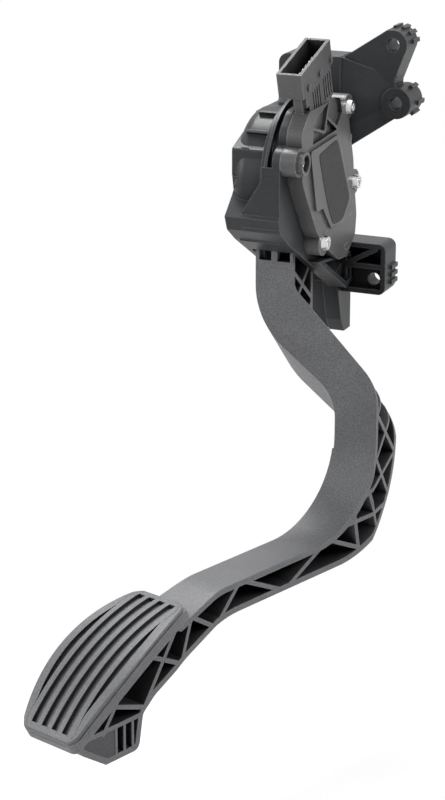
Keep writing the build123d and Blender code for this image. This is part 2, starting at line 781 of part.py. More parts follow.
SLOT_PLACES = [-7.8, -5.0, -2.2, 0.6, 6.6, 9.4, 12.2, 15.0]
SLOT_W = 1.5
SLOT_DEPTH = 2.2
WELL_FLOOR_X = COVER_FACE_X - WELL_DEPTH
PIN_PLACES = [(i - (PIN_COUNT - 1) / 2) * PIN_PITCH for i in range(PIN_COUNT)]


def cover_outline():
    """Outer edge of the sensor cover with its screw lobes, in the sketch that calls it."""
    rounded_outline(COVER_EDGE, COVER_RADII)
    with Locations(*PLAIN_SCREWS):
        Circle(SCREW_LOBE_R)
    with Locations((POST_Y, POST_Z)):
        Circle(POST_LOBE_R)


def cover_room():
    """Room inside the cover's wall, clear of the screw lobes, in the sketch that calls it."""
    rounded_outline(COVER_EDGE, COVER_RADII)
    offset(amount=-COVER_WALL)
    with Locations(*PLAIN_SCREWS):
        Circle(SCREW_LOBE_R, mode=Mode.SUBTRACT)
    with Locations((POST_Y, POST_Z)):
        Circle(POST_LOBE_R, mode=Mode.SUBTRACT)


def seal_region(inset):
    """Cover face inside the given inset, going round the screws, in the sketch that calls it."""
    rounded_outline(COVER_EDGE, COVER_RADII)
    offset(amount=-inset)
    with Locations(*ALL_SCREWS):
        Circle(SCREW_HOLE_R + inset, mode=Mode.SUBTRACT)


def pressed(y, z):
    """Where a place on the arm's side is when the pedal is pressed down to its stop."""
    turn = math.radians(FULL_ANGLE)
    return (y * math.cos(turn) - z * math.sin(turn), y * math.sin(turn) + z * math.cos(turn))


FINGER_SIDE = [
    pressed(ARM_BACK_Y + STOP_GAP, -68.0),
    pressed(ARM_BACK_Y + STOP_GAP, -97.0),
    (51.0, FINGER_TIP_Z),
    (60.0, FINGER_TIP_Z),
    (60.0, -76.0),
    (HOUSING_BACK_Y, -60.0),
    (CAVITY_BACK_Y, -56.0),
]

# Skirt that stiffens the finger, behind the arm's sweep
SKIRT_LEFT = -9.0
SKIRT_SIDE = [(45.5, -54.0), (HOUSING_BACK_Y, -54.0), (56.5, FINGER_TIP_Z), (53.5, FINGER_TIP_Z)]

with BuildPart() as left_drum:
    with BuildSketch(side_plane(HOUSING_LEFT)):
        Circle(LEFT_DRUM_R)
    extrude(amount=DRUM_STEP_X - HOUSING_LEFT)
    fillet(left_drum.edges().filter_by(GeomType.CIRCLE).sort_by(Axis.X)[0], radius=LEFT_DRUM_ROUND)

with BuildPart() as bracket:
    with BuildSketch(side_plane(BRACKET_ROOT_X)):
        outline(*BRACKET_ROOT)
    with BuildSketch(side_plane(BRACKET_END_X)):
        outline(*BRACKET_END)
    loft(ruled=True)

with BuildPart() as bracket_core:
    with BuildSketch(side_plane(BRACKET_CORE_X)):
        outline(*CORE_ROOT)
    with BuildSketch(side_plane(BRACKET_END_X - BRACKET_WALL)):
        outline(*CORE_END)
    loft(ruled=True)

# Housing: drum, beak, bracket, ears, lower bracket and stop finger in one moulding
with BuildPart() as housing:
    with BuildSketch(side_plane(HOUSING_LEFT)):
        outline(*BODY_SIDE)
    extrude(amount=HOUSING_RIGHT - HOUSING_LEFT)
    with BuildSketch(side_plane(HOUSING_LEFT)):
        rounded_outline(SHOE_BLOCK_SIDE, SHOE_BLOCK_RADII)
    extrude(amount=DRUM_STEP_X - HOUSING_LEFT)
    add(left_drum.part)
    with BuildSketch(side_plane(DRUM_STEP_X)):
        Circle(DRUM_R)
    extrude(amount=HOUSING_RIGHT - DRUM_STEP_X)
    with BuildSketch(side_plane(FLANGE_X)):
        Circle(FLANGE_R)
        outline(*FLANGE_SECTOR, mode=Mode.INTERSECT)
    extrude(amount=FLANGE_T)
    with BuildSketch(front_plane(BRACKET_FRONT_Y)):
        rounded_outline(
            [
                (UPRIGHT_LEFT, UPRIGHT_FOOT_Z),
                (HOUSING_RIGHT, UPRIGHT_FOOT_Z),
                (HOUSING_RIGHT, BRACKET_TOP_Z),
                (UPRIGHT_LEFT, BRACKET_TOP_Z),
            ],
            [0, 0, 0, UPRIGHT_R],
        )
    extrude(amount=BRACKET_FRONT_Y - BRACKET_BACK_Y)
    with BuildSketch(side_plane(CAVITY_RIGHT)):
        cover_outline()
    extrude(amount=RIGHT_WALL)
    with BuildSketch(front_plane(FRONT_WALL_Y)):
        outline(*FRONT_WALL)
    extrude(amount=FRONT_WALL_Y - FRONT_WALL_BACK_Y)
    # Fins and short ribs on the left half of the drum
    for angle, fin_left, fin_right in DRUM_FINS:
        turn = math.radians(angle)
        reach = (FIN_FOOT_R + FIN_TOP_R) / 2
        with BuildSketch(side_plane(fin_left)):
            with Locations((reach * math.cos(turn), reach * math.sin(turn))):
                Rectangle(FIN_TOP_R - FIN_FOOT_R, FIN_T, rotation=angle)
        extrude(amount=fin_right - fin_left)
    with BuildSketch(side_plane(BLOCK_RIB_LEFT)):
        with Locations(*BLOCK_RIBS):
            Rectangle(BLOCK_RIB_H, FIN_T)
    extrude(amount=BLOCK_RIB_RIGHT - BLOCK_RIB_LEFT)
    # Tower over the return springs
    with BuildSketch(top_plane(ROOM_ROOF_Z)):
        with Locations((0, SPRING_Y)):
            Circle(TOWER_R)
    extrude(amount=CAVITY_ROOF_Z + TOWER_ROOF - ROOM_ROOF_Z)
    # Room for the arm, the hub and the springs
    with BuildSketch(top_plane(0)):
        with Locations((0, SPRING_Y)):
            Circle(LEVER_SEAT_R + SLIDE_GAP)
    extrude(amount=CAVITY_ROOF_Z, mode=Mode.SUBTRACT)
    with BuildSketch(side_plane(CAVITY_LEFT)):
        outline(*CAVITY_SIDE)
        Circle(CAVITY_R)
    extrude(amount=CAVITY_RIGHT - CAVITY_LEFT, mode=Mode.SUBTRACT)
    with BuildSketch(side_plane(-SHOE_HALF - SLIDE_GAP)):
        with Locations((SHOE_POCKET_Y, 0)):
            Rectangle(SHOE_POCKET_RUN, 2 * (SHOE_HALF + SLIDE_GAP), align=(Align.MIN, Align.CENTER))
    extrude(amount=2 * (SHOE_HALF + SLIDE_GAP), mode=Mode.SUBTRACT)
    with BuildSketch(side_plane(CAVITY_LEFT)):
        for side in (-1, 1):
            with Locations((SHOE_BACK_Y, side * (SHOE_HALF + SLIDE_GAP + GUIDE_T / 2))):
                Rectangle(SHOE_RUN, GUIDE_T)
        with Locations((ARM_FRONT_Y - STOP_PAD_T, STOP_PAD_BOTTOM_Z)):
            Rectangle(STOP_LEDGE, STOP_PAD_TOP_Z + 1.0 - STOP_PAD_BOTTOM_Z, align=(Align.MAX, Align.MIN))
    extrude(amount=CAVITY_RIGHT - CAVITY_LEFT)
    with BuildSketch(side_plane(BOSS_FACE)):
        Circle(BUSH_BOSS_R)
    extrude(amount=CAVITY_RIGHT - BOSS_FACE)
    with BuildSketch(side_plane(FINGER_LEFT)):
        outline(*FINGER_SIDE)
    extrude(amount=FINGER_RIGHT - FINGER_LEFT)
    with BuildSketch(side_plane(SKIRT_LEFT)):
        outline(*SKIRT_SIDE)
    extrude(amount=FINGER_RIGHT - SKIRT_LEFT)
    # Bracket and ears
    add(bracket.part)
    with BuildSketch(front_plane(EAR_FRONT_Y)):
        outline(*EAR_FACE)
        with Locations((UPPER_HOLE_X, UPPER_HOLE_Z)):
            Circle(EAR_R)
    extrude(amount=EAR_FRONT_Y - MOUNT_FACE_Y)
    with BuildSketch(front_plane(EAR_FRONT_Y + EAR_SKIN)):
        outline(*EAR_CORE)
    extrude(amount=EAR_FRONT_Y - MOUNT_FACE_Y, mode=Mode.SUBTRACT)
    add(bracket_core.part, mode=Mode.SUBTRACT)
    with BuildSketch(front_plane(MIDDLE_FRONT_Y)):
        with Locations((MIDDLE_HOLE_X, MIDDLE_HOLE_Z)):
            Circle(MIDDLE_BOSS_R)
    extrude(amount=MIDDLE_FRONT_Y - MOUNT_FACE_Y)
    with BuildSketch(front_plane(BRACKET_FRONT_Y + BRACKET_WALL)):
        for pocket_left, pocket_right in UPRIGHT_POCKETS:
            with Locations((pocket_left, UPRIGHT_POCKET[0])):
                Rectangle(pocket_right - pocket_left, UPRIGHT_POCKET[1] - UPRIGHT_POCKET[0], align=Align.MIN)
    extrude(amount=BRACKET_FRONT_Y - BRACKET_BACK_Y, mode=Mode.SUBTRACT)
    # Ribs around the two upper bosses
    with BuildSketch(front_plane(EAR_RIB_FRONT_Y)):
        for angle in UPPER_RIB_ANGLES:
            turn = math.radians(angle)
            reach = EAR_R + EAR_RIB_H / 2 - 0.5
            with Locations((UPPER_HOLE_X + reach * math.cos(turn), UPPER_HOLE_Z + reach * math.sin(turn))):
                Rectangle(EAR_RIB_H + 1.0, EAR_RIB_T, rotation=angle)
        for angle in MIDDLE_RIB_ANGLES:
            turn = math.radians(angle)
            reach = MIDDLE_BOSS_R + EAR_RIB_H / 2 - 0.5
            with Locations((MIDDLE_HOLE_X + reach * math.cos(turn), MIDDLE_HOLE_Z + reach * math.sin(turn))):
                Rectangle(EAR_RIB_H + 1.0, EAR_RIB_T, rotation=angle)
    extrude(amount=EAR_RIB_FRONT_Y - MOUNT_FACE_Y)
    # Lower bracket, open to the driver
    with BuildSketch(front_plane(EAR_FRONT_Y)):
        rounded_outline(
            [
                (LOWER_BOX_LEFT - LOWER_BOX_LAP, LOWER_BOX_BOTTOM),
                (LOWER_BOX_RIGHT, LOWER_BOX_BOTTOM),
                (LOWER_BOX_RIGHT, LOWER_BOX_TOP),
                (LOWER_BOX_LEFT - LOWER_BOX_LAP, LOWER_BOX_TOP),
            ],
            [0, LOWER_BOX_R, LOWER_BOX_R, 0],
        )
    extrude(amount=EAR_FRONT_Y - MOUNT_FACE_Y)
    with BuildSketch(front_plane(EAR_FRONT_Y)):
        with Locations((LOWER_BOX_LEFT + LOWER_BOX_WALL, LOWER_SHELF_Z + LOWER_BOX_WALL)):
            Rectangle(
                LOWER_BOX_RIGHT - LOWER_BOX_LEFT - 2 * LOWER_BOX_WALL,
                LOWER_BOX_TOP - LOWER_SHELF_Z - 2 * LOWER_BOX_WALL,
                align=Align.MIN,
            )
        strips([LOWER_BOX_RIB], LOWER_BOX_WALL)
    extrude(amount=EAR_FRONT_Y - MOUNT_FACE_Y + LOWER_BOX_WALL, mode=Mode.SUBTRACT)
    with BuildSketch(front_plane(EAR_FRONT_Y)):
        with Locations((LOWER_BOX_LEFT + LOWER_BOX_WALL, LOWER_BOX_BOTTOM + LOWER_BOX_WALL)):
            Rectangle(
                LOWER_BOX_RIGHT - LOWER_BOX_LEFT - 2 * LOWER_BOX_WALL,
                LOWER_SHELF_Z - LOWER_BOX_BOTTOM - LOWER_BOX_WALL,
                align=Align.MIN,
            )
    extrude(amount=EAR_FRONT_Y - LOWER_SEAT_Y, mode=Mode.SUBTRACT)
    with BuildSketch(front_plane(EAR_RIB_FRONT_Y)):
        for tooth in LOWER_TEETH_Z:
            with Locations((LOWER_BOX_RIGHT, tooth)):
                Rectangle(2 * EAR_RIB_H, EAR_RIB_T)
    extrude(amount=EAR_RIB_FRONT_Y - MOUNT_FACE_Y)
    # Rim of the fin under the cover
    with BuildSketch(side_plane(HOUSING_RIGHT)):
        outline(
            (0.0, -44.6),
            (FIN_TIP_Y, FIN_TIP_Z),
            (HOUSING_BACK_Y, FIN_TIP_Z + 2.0),
            (HOUSING_BACK_Y, -50.0),
        )
        with BuildSketch(side_plane(HOUSING_RIGHT), mode=Mode.PRIVATE) as recess:
            outline(*FIN_RECESS)
        add(recess.sketch_local, mode=Mode.SUBTRACT)
    extrude(amount=FIN_RIM)
    # Seat of the cover, bores and holes
    with BuildSketch(side_plane(HOUSING_RIGHT)):
        cover_outline()
        offset(amount=COVER_CLEARANCE)
    extrude(amount=POST_END_X - HOUSING_RIGHT, mode=Mode.SUBTRACT)
    with BuildSketch(side_plane(HOUSING_LEFT)):
        Circle(END_CAP_R + PRESS_GAP)
    extrude(amount=LEFT_WALL, mode=Mode.SUBTRACT)
    with BuildSketch(side_plane(HOUSING_LEFT)):
        Circle(END_CAP_R + CAP_LIP + PRESS_GAP)
    extrude(amount=CAP_LIP, mode=Mode.SUBTRACT)
    with BuildSketch(side_plane(0)):
        Circle(BUSH_R + PRESS_GAP)
    extrude(amount=HOUSING_RIGHT, mode=Mode.SUBTRACT)
    with BuildSketch(side_plane(SCREW_TIP_X - 0.2)):
        with Locations(*ALL_SCREWS):
            Circle(SCREW_R + RUNNING_GAP)
    extrude(amount=HOUSING_RIGHT - SCREW_TIP_X + 0.2, mode=Mode.SUBTRACT)
    with BuildSketch(front_plane(0)):
        with Locations(
            (UPPER_HOLE_X, UPPER_HOLE_Z),
            (MIDDLE_HOLE_X, MIDDLE_HOLE_Z),
            (LOWER_HOLE_X, LOWER_HOLE_Z),
        ):
            Circle(MOUNT_HOLE_R)
    extrude(amount=-MOUNT_FACE_Y, mode=Mode.SUBTRACT)

# End cap with the left bush's seat
with BuildPart() as end_cap:
    with BuildSketch(side_plane(HOUSING_LEFT)):
        Circle(END_CAP_R)
    extrude(amount=LEFT_WALL)
    with BuildSketch(side_plane(HOUSING_LEFT)):
        Circle(END_CAP_R + CAP_LIP)
    extrude(amount=CAP_LIP)
    with BuildSketch(side_plane(CAVITY_LEFT)):
        Circle(BUSH_BOSS_R)
    extrude(amount=-BOSS_FACE - CAVITY_LEFT)
    with BuildSketch(side_plane(HOUSING_LEFT)):
        Circle(CLIP_R + 2.0)
    extrude(amount=CAP_RECESS, mode=Mode.SUBTRACT)
    with BuildSketch(side_plane(HOUSING_LEFT)):
        Circle(BUSH_R + PRESS_GAP)
    extrude(amount=-BOSS_FACE - HOUSING_LEFT, mode=Mode.SUBTRACT)

with BuildPart() as left_bush:
    with BuildSketch(side_plane(CAP_FLOOR_X)):
        Circle(BUSH_R)
    extrude(amount=-BOSS_FACE - CAP_FLOOR_X)
    with BuildSketch(side_plane(-BOSS_FACE)):
        Circle(BUSH_FLANGE_R)
    extrude(amount=BUSH_FLANGE_T)
    with BuildSketch(side_plane(CAP_FLOOR_X)):
        Circle(SHAFT_R + RUNNING_GAP)
    extrude(amount=-CAP_FLOOR_X, mode=Mode.SUBTRACT)

with BuildPart() as right_bush:
    with BuildSketch(side_plane(BOSS_FACE)):
        Circle(BUSH_R)
    extrude(amount=HOUSING_RIGHT - BOSS_FACE)
    with BuildSketch(side_plane(BUSH_FACE)):
        Circle(BUSH_FLANGE_R)
    extrude(amount=BUSH_FLANGE_T)
    with BuildSketch(side_plane(BUSH_FACE)):
        Circle(SHAFT_R + RUNNING_GAP)
    extrude(amount=HOUSING_RIGHT - BUSH_FACE, mode=Mode.SUBTRACT)

with BuildPart() as pivot_shaft:
    with BuildSketch(side_plane(SHAFT_LEFT)):
        Circle(SHAFT_R)
    extrude(amount=CARRIER_RIGHT_X - SHAFT_LEFT)
    with BuildSketch(side_plane(CAP_FLOOR_X - THRUST_GAP)):
        Circle(SHAFT_R)
        Circle(CLIP_GROOVE_R, mode=Mode.SUBTRACT)
    extrude(amount=-CLIP_T, mode=Mode.SUBTRACT)

with BuildPart() as shaft_clip:
    with BuildSketch(side_plane(CAP_FLOOR_X - THRUST_GAP)):
        Circle(CLIP_R)
        Circle(CLIP_GROOVE_R + PRESS_GAP, mode=Mode.SUBTRACT)
        with Locations((0, CLIP_R)):
            Rectangle(CLIP_GROOVE_R * 1.6, CLIP_R, mode=Mode.SUBTRACT)
    extrude(amount=-CLIP_T)


def coil(radius, wire, turns, start, direction, length):
    """Coil spring along a direction, with a small gap at each end, in the part that calls it."""
    rise = length - 2 * wire - 2 * SPRING_GAP
    foot = start + direction * (wire + SPRING_GAP)
    return Helix(rise / turns, rise, radius, center=foot, direction=direction)


UP = Vector(0, 0, 1)
SPRING_FOOT = spot(0, SPRING_Y, 0)
SPRING_LENGTH = CAVITY_ROOF_Z - SEAT_T

with BuildPart() as outer_return_spring:
    with BuildLine() as outer_path:
        add(coil(OUTER_COIL_R, OUTER_WIRE_R, OUTER_TURNS, SPRING_FOOT, UP, SPRING_LENGTH))
    with BuildSketch(Plane(origin=outer_path.line @ 0, z_dir=outer_path.line % 0)):
        Circle(OUTER_WIRE_R)
    sweep(path=outer_path.line, is_frenet=True)

with BuildPart() as inner_return_spring:
    with BuildLine() as inner_path:
        add(coil(INNER_COIL_R, INNER_WIRE_R, INNER_TURNS, SPRING_FOOT, UP, SPRING_LENGTH))
    with BuildSketch(Plane(origin=inner_path.line @ 0, z_dir=inner_path.line % 0)):
        Circle(INNER_WIRE_R)
    sweep(path=inner_path.line, is_frenet=True)

with BuildPart() as spring_seat:
    with BuildSketch(top_plane(CAVITY_ROOF_Z - SEAT_T)):
        with Locations((0, SPRING_Y)):
            Circle(LEVER_SEAT_R)
    extrude(amount=SEAT_T)
    with BuildSketch(top_plane(CAVITY_ROOF_Z - SEAT_T)):
        with Locations((0, SPRING_Y)):
            Circle(INNER_COIL_R - INNER_WIRE_R - SLIDE_GAP)
    extrude(amount=-SPIGOT)

with BuildPart() as friction_shoe:
    with BuildSketch(side_plane(-SHOE_HALF)):
        with Locations((SHOE_BACK_Y, 0)):
            Rectangle(SHOE_RUN, 2 * SHOE_HALF, align=(Align.MIN, Align.CENTER))
        Circle(HUB_R + SLIDE_GAP, mode=Mode.SUBTRACT)
    extrude(amount=2 * SHOE_HALF)

with BuildPart() as friction_spring:
    with BuildLine() as friction_path:
        add(
            coil(
                FRICTION_COIL_R,
                FRICTION_WIRE_R,
                FRICTION_TURNS,
                spot(0, SHOE_POCKET_Y, 0),
                Vector(0, 1, 0),
                SHOE_BACK_Y - SHOE_POCKET_Y,
            )
        )
    with BuildSketch(Plane(origin=friction_path.line @ 0, z_dir=friction_path.line % 0)):
        Circle(FRICTION_WIRE_R)
    sweep(path=friction_path.line, is_frenet=True)

with BuildPart() as idle_stop_pad:
    with BuildSketch(front_plane(ARM_FRONT_Y - IDLE_GAP)):
        with Locations((0, STOP_PAD_BOTTOM_Z)):
            Rectangle(2 * STOP_PAD_HALF, STOP_PAD_TOP_Z - STOP_PAD_BOTTOM_Z, align=(Align.CENTER, Align.MIN))
    extrude(amount=STOP_PAD_T - IDLE_GAP)

# Sensor cover with its connector
with BuildPart() as sensor_cover:
    with BuildSketch(side_plane(HOUSING_RIGHT)):
        cover_outline()
    extrude(amount=COVER_DEPTH)
    with BuildSketch(side_plane(HOUSING_RIGHT)):
        with Locations((POST_Y, POST_Z)):
            Circle(POST_R)
    extrude(amount=POST_END_X - HOUSING_RIGHT)
    with BuildSketch(side_plane(COVER_FACE_X)):
        rounded_outline(LABEL_EDGE, LABEL_RADII)
    extrude(amount=LABEL_T)
    with BuildSketch(PLUG):
        Rectangle(PLUG_W, PLUG_L)
    extrude(amount=-FLOOR_DEPTH)
    with BuildSketch(PLUG.offset(-FLOOR_DEPTH)):
        with Locations((NECK_LEFT - PLUG_X, NECK_FRONT)):
            Rectangle(NECK_RIGHT - NECK_LEFT, NECK_BACK - NECK_FRONT, align=Align.MIN)
    extrude(amount=FLOOR_DEPTH - NECK_DEPTH_END)
    with BuildSketch(PLUG.offset(-FLOOR_DEPTH)):
        with Locations((NECK_RIGHT - PLUG_X, NECK_FRONT)):
            Rectangle(TONGUE_W, TONGUE_L, align=Align.MAX)
    extrude(amount=-TONGUE_DEPTH)
    with BuildSketch(side_plane(BRACE_LEFT)):
        outline(*BRACE_SIDE)
    extrude(amount=BRACE_RIGHT - BRACE_LEFT)
    with BuildSketch(side_plane(NECK_LEFT - 1.0)):
        Circle(DRUM_R + COVER_CLEARANCE)
        cover_outline()
    extrude(amount=HOUSING_RIGHT - NECK_LEFT + 1.0, mode=Mode.SUBTRACT)
    # Room for the board and the rotor, and the channel for the pins
    with BuildSketch(side_plane(HOUSING_RIGHT)):
        cover_room()
    extrude(amount=WELL_FLOOR_X - WELL_PLATE - HOUSING_RIGHT, mode=Mode.SUBTRACT)
    with BuildSketch(side_plane(HOUSING_RIGHT)):
        cover_room()
        with BuildSketch(side_plane(HOUSING_RIGHT), mode=Mode.PRIVATE) as under_well:
            outline(*WELL_EDGE)
            offset(amount=WELL_PLATE, kind=Kind.INTERSECTION)
        add(under_well.sketch_local, mode=Mode.SUBTRACT)
    extrude(amount=COVER_INNER_X - HOUSING_RIGHT, mode=Mode.SUBTRACT)
    with BuildSketch(side_plane(WELL_FLOOR_X)):
        outline(*WELL_EDGE)
        strips(WELL_RIBS, WELL_RIB_T)
    extrude(amount=WELL_DEPTH, mode=Mode.SUBTRACT)
    with BuildSketch(side_plane(BOARD_RIGHT_X)):
        with Locations(*BOARD_POSTS):
            Circle(BOARD_POST_R)
    extrude(amount=BOARD_STAND)
    with BuildSketch(PLUG):
        Rectangle(PLUG_W - 2 * PLUG_WALL, PLUG_L - 2 * PLUG_WALL)
    extrude(amount=-PLUG_DEPTH, mode=Mode.SUBTRACT)
    with BuildSketch(PLUG.offset(-FLOOR_DEPTH)):
        with Locations((JOG_LEFT - PLUG_X, -CHANNEL_HALF)):
            Rectangle(CHANNEL_RIGHT - JOG_LEFT, 2 * CHANNEL_HALF, align=Align.MIN)
    extrude(amount=FLOOR_DEPTH - JOG_DEPTH, mode=Mode.SUBTRACT)
    with BuildSketch(PLUG.offset(-FLOOR_DEPTH)):
        with Locations((CHANNEL_LEFT - PLUG_X, -CHANNEL_HALF)):
            Rectangle(CHANNEL_RIGHT - CHANNEL_LEFT, 2 * CHANNEL_HALF, align=Align.MIN)
    extrude(amount=FLOOR_DEPTH - NECK_DEPTH_END, mode=Mode.SUBTRACT)
    with BuildSketch(PLUG.offset(-PLUG_DEPTH)):
        with Locations(*[(0, place) for place in PIN_PLACES]):
            Rectangle(PIN_T + 2 * PRESS_GAP, PIN_W + 2 * PRESS_GAP)
    extrude(amount=-PLUG_FLOOR, mode=Mode.SUBTRACT)
    # Pegs and slots on the connector's right face
    with BuildSketch(Plane(origin=spot(NECK_RIGHT, PLUG_Y, PLUG_Z), x_dir=PLUG.y_dir, z_dir=(1, 0, 0))):
        with Locations(*[(place, -PEG_DEPTH) for place in PEG_PLACES]):
            Circle(PEG_R)
    extrude(amount=PEG_H)
    with BuildSketch(Plane(origin=spot(NECK_RIGHT, PLUG_Y, PLUG_Z), x_dir=PLUG.y_dir, z_dir=(1, 0, 0))):
        with Locations(*[(place, -SLOT_TOP) for place in SLOT_PLACES]):
            Rectangle(SLOT_W, SLOT_LENGTH, align=(Align.CENTER, Align.MAX))
    extrude(amount=-SLOT_DEPTH, mode=Mode.SUBTRACT)
    # Groove for the seal, and screw holes
    with BuildSketch(side_plane(HOUSING_RIGHT)):
        seal_region(SEAL_INSET)
        with BuildSketch(side_plane(HOUSING_RIGHT), mode=Mode.PRIVATE) as seal_inner:
            seal_region(SEAL_INSET + SEAL_W)
        add(seal_inner.sketch_local, mode=Mode.SUBTRACT)
    extrude(amount=SEAL_T, mode=Mode.SUBTRACT)
    with BuildSketch(side_plane(HOUSING_RIGHT)):
        with Locations(*ALL_SCREWS):
            Circle(SCREW_HOLE_R)
    extrude(amount=COVER_DEPTH, mode=Mode.SUBTRACT)
    with BuildSketch(side_plane(POST_FLOOR_X)):
        with Locations((POST_Y, POST_Z)):
            Circle(SCREW_HEAD_R + SLIDE_GAP)
    extrude(amount=POST_END_X - POST_FLOOR_X, mode=Mode.SUBTRACT)

with BuildPart() as cover_seal:
    with BuildSketch(side_plane(HOUSING_RIGHT)):
        seal_region(SEAL_INSET + PRESS_GAP)
    extrude(amount=SEAL_T)
    with BuildSketch(side_plane(HOUSING_RIGHT)):
        seal_region(SEAL_INSET + SEAL_W - PRESS_GAP)
    extrude(amount=SEAL_T, mode=Mode.SUBTRACT)

with BuildPart() as cover_screws:
    for place, seat in [(p, COVER_FACE_X) for p in PLAIN_SCREWS] + [((POST_Y, POST_Z), POST_FLOOR_X)]:
        with BuildSketch(side_plane(SCREW_TIP_X)):
            with Locations(place):
                Circle(SCREW_R)
        extrude(amount=seat - SCREW_TIP_X)
        with BuildSketch(side_plane(seat)):
            with Locations(place):
                Circle(SCREW_HEAD_R)
        extrude(amount=SCREW_HEAD_T, taper=SCREW_HEAD_TAPER)
        with BuildSketch(side_plane(seat + SCREW_HEAD_T)):
            with Locations(place):
                RegularPolygon(HEX_R, 6)
        extrude(amount=-HEX_DEPTH, mode=Mode.SUBTRACT)

with BuildPart() as circuit_board:
    with BuildSketch(side_plane(BOARD_LEFT_X)):
        outline(*BOARD_EDGE)
    extrude(amount=BOARD_T)

with BuildPart() as sensor_chips:
    with BuildSketch(side_plane(BOARD_LEFT_X)):
        with Locations((0, 0)):
            Rectangle(CHIP_SIZE, CHIP_SIZE)
        with Locations((20.0, -4.0)):
            Rectangle(CHIP_SIZE, CHIP_SIZE)
    extrude(amount=-CHIP_T)

with BuildPart() as connector_pins:
    for place in PIN_PLACES:
        with BuildSketch(PLUG.offset(-PIN_TOP)):
            with Locations((0, place)):
                Rectangle(PIN_T, PIN_W)
        extrude(amount=-(JOG_DEPTH - PIN_TOP - 1.5))
        with BuildSketch(PLUG.offset(-(JOG_DEPTH - 1.5))):
            with Locations((-PIN_T / 2, place)):
                Rectangle(BOARD_LEFT_X - PLUG_X + PIN_T / 2, PIN_W, align=(Align.MIN, Align.CENTER))
        extrude(amount=PIN_T)
        with BuildSketch(PLUG.offset(-(JOG_DEPTH - 1.5 - PIN_T))):
            with Locations((BOARD_LEFT_X - PLUG_X, place)):
                Rectangle(PIN_T, PIN_W, align=(Align.MAX, Align.CENTER))
        extrude(amount=-(PIN_END_DEPTH - JOG_DEPTH + 1.5 + PIN_T))

with BuildPart() as rotor_carrier:
    with BuildSketch(side_plane(CARRIER_LEFT_X)):
        Circle(CARRIER_R)
        Circle(SHAFT_R + PRESS_GAP, mode=Mode.SUBTRACT)
    extrude(amount=CARRIER_T)

with BuildPart() as rotor_target:
    with BuildSketch(side_plane(CARRIER_RIGHT_X)):
        Circle(TARGET_R)
    extrude(amount=TARGET_T)

housing.part.label = "housing"
export_step(housing.part, "parts/housing.step")
end_cap.part.label = "end_cap"
export_step(end_cap.part, "parts/end_cap.step")
left_bush.part.label = "left_bush"
export_step(left_bush.part, "parts/left_bush.step")
right_bush.part.label = "right_bush"
export_step(right_bush.part, "parts/right_bush.step")
pivot_shaft.part.label = "pivot_shaft"
export_step(pivot_shaft.part, "parts/pivot_shaft.step")
shaft_clip.part.label = "shaft_clip"
export_step(shaft_clip.part, "parts/shaft_clip.step")
pedal_arm.part.label = "pedal_arm"
export_step(pedal_arm.part, "parts/pedal_arm.step")
outer_return_spring.part.label = "outer_return_spring"
export_step(outer_return_spring.part, "parts/outer_return_spring.step")
inner_return_spring.part.label = "inner_return_spring"
export_step(inner_return_spring.part, "parts/inner_return_spring.step")
spring_seat.part.label = "spring_seat"
export_step(spring_seat.part, "parts/spring_seat.step")
friction_shoe.part.label = "friction_shoe"
export_step(friction_shoe.part, "parts/friction_shoe.step")
friction_spring.part.label = "friction_spring"
export_step(friction_spring.part, "parts/friction_spring.step")
idle_stop_pad.part.label = "idle_stop_pad"
export_step(idle_stop_pad.part, "parts/idle_stop_pad.step")
sensor_cover.part.label = "sensor_cover"
export_step(sensor_cover.part, "parts/sensor_cover.step")
cover_seal.part.label = "cover_seal"
export_step(cover_seal.part, "parts/cover_seal.step")
cover_screws.part.label = "cover_screws"
export_step(cover_screws.part, "parts/cover_screws.step")
circuit_board.part.label = "circuit_board"
export_step(circuit_board.part, "parts/circuit_board.step")
sensor_chips.part.label = "sensor_chips"
export_step(sensor_chips.part, "parts/sensor_chips.step")
connector_pins.part.label = "connector_pins"
export_step(connector_pins.part, "parts/connector_pins.step")
rotor_carrier.part.label = "rotor_carrier"
export_step(rotor_carrier.part, "parts/rotor_carrier.step")
rotor_target.part.label = "rotor_target"
export_step(rotor_target.part, "parts/rotor_target.step")
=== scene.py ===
"""Looks of a hanging accelerator pedal: grained mouldings, plated screws, moulding marks and a white studio."""
import json
import math

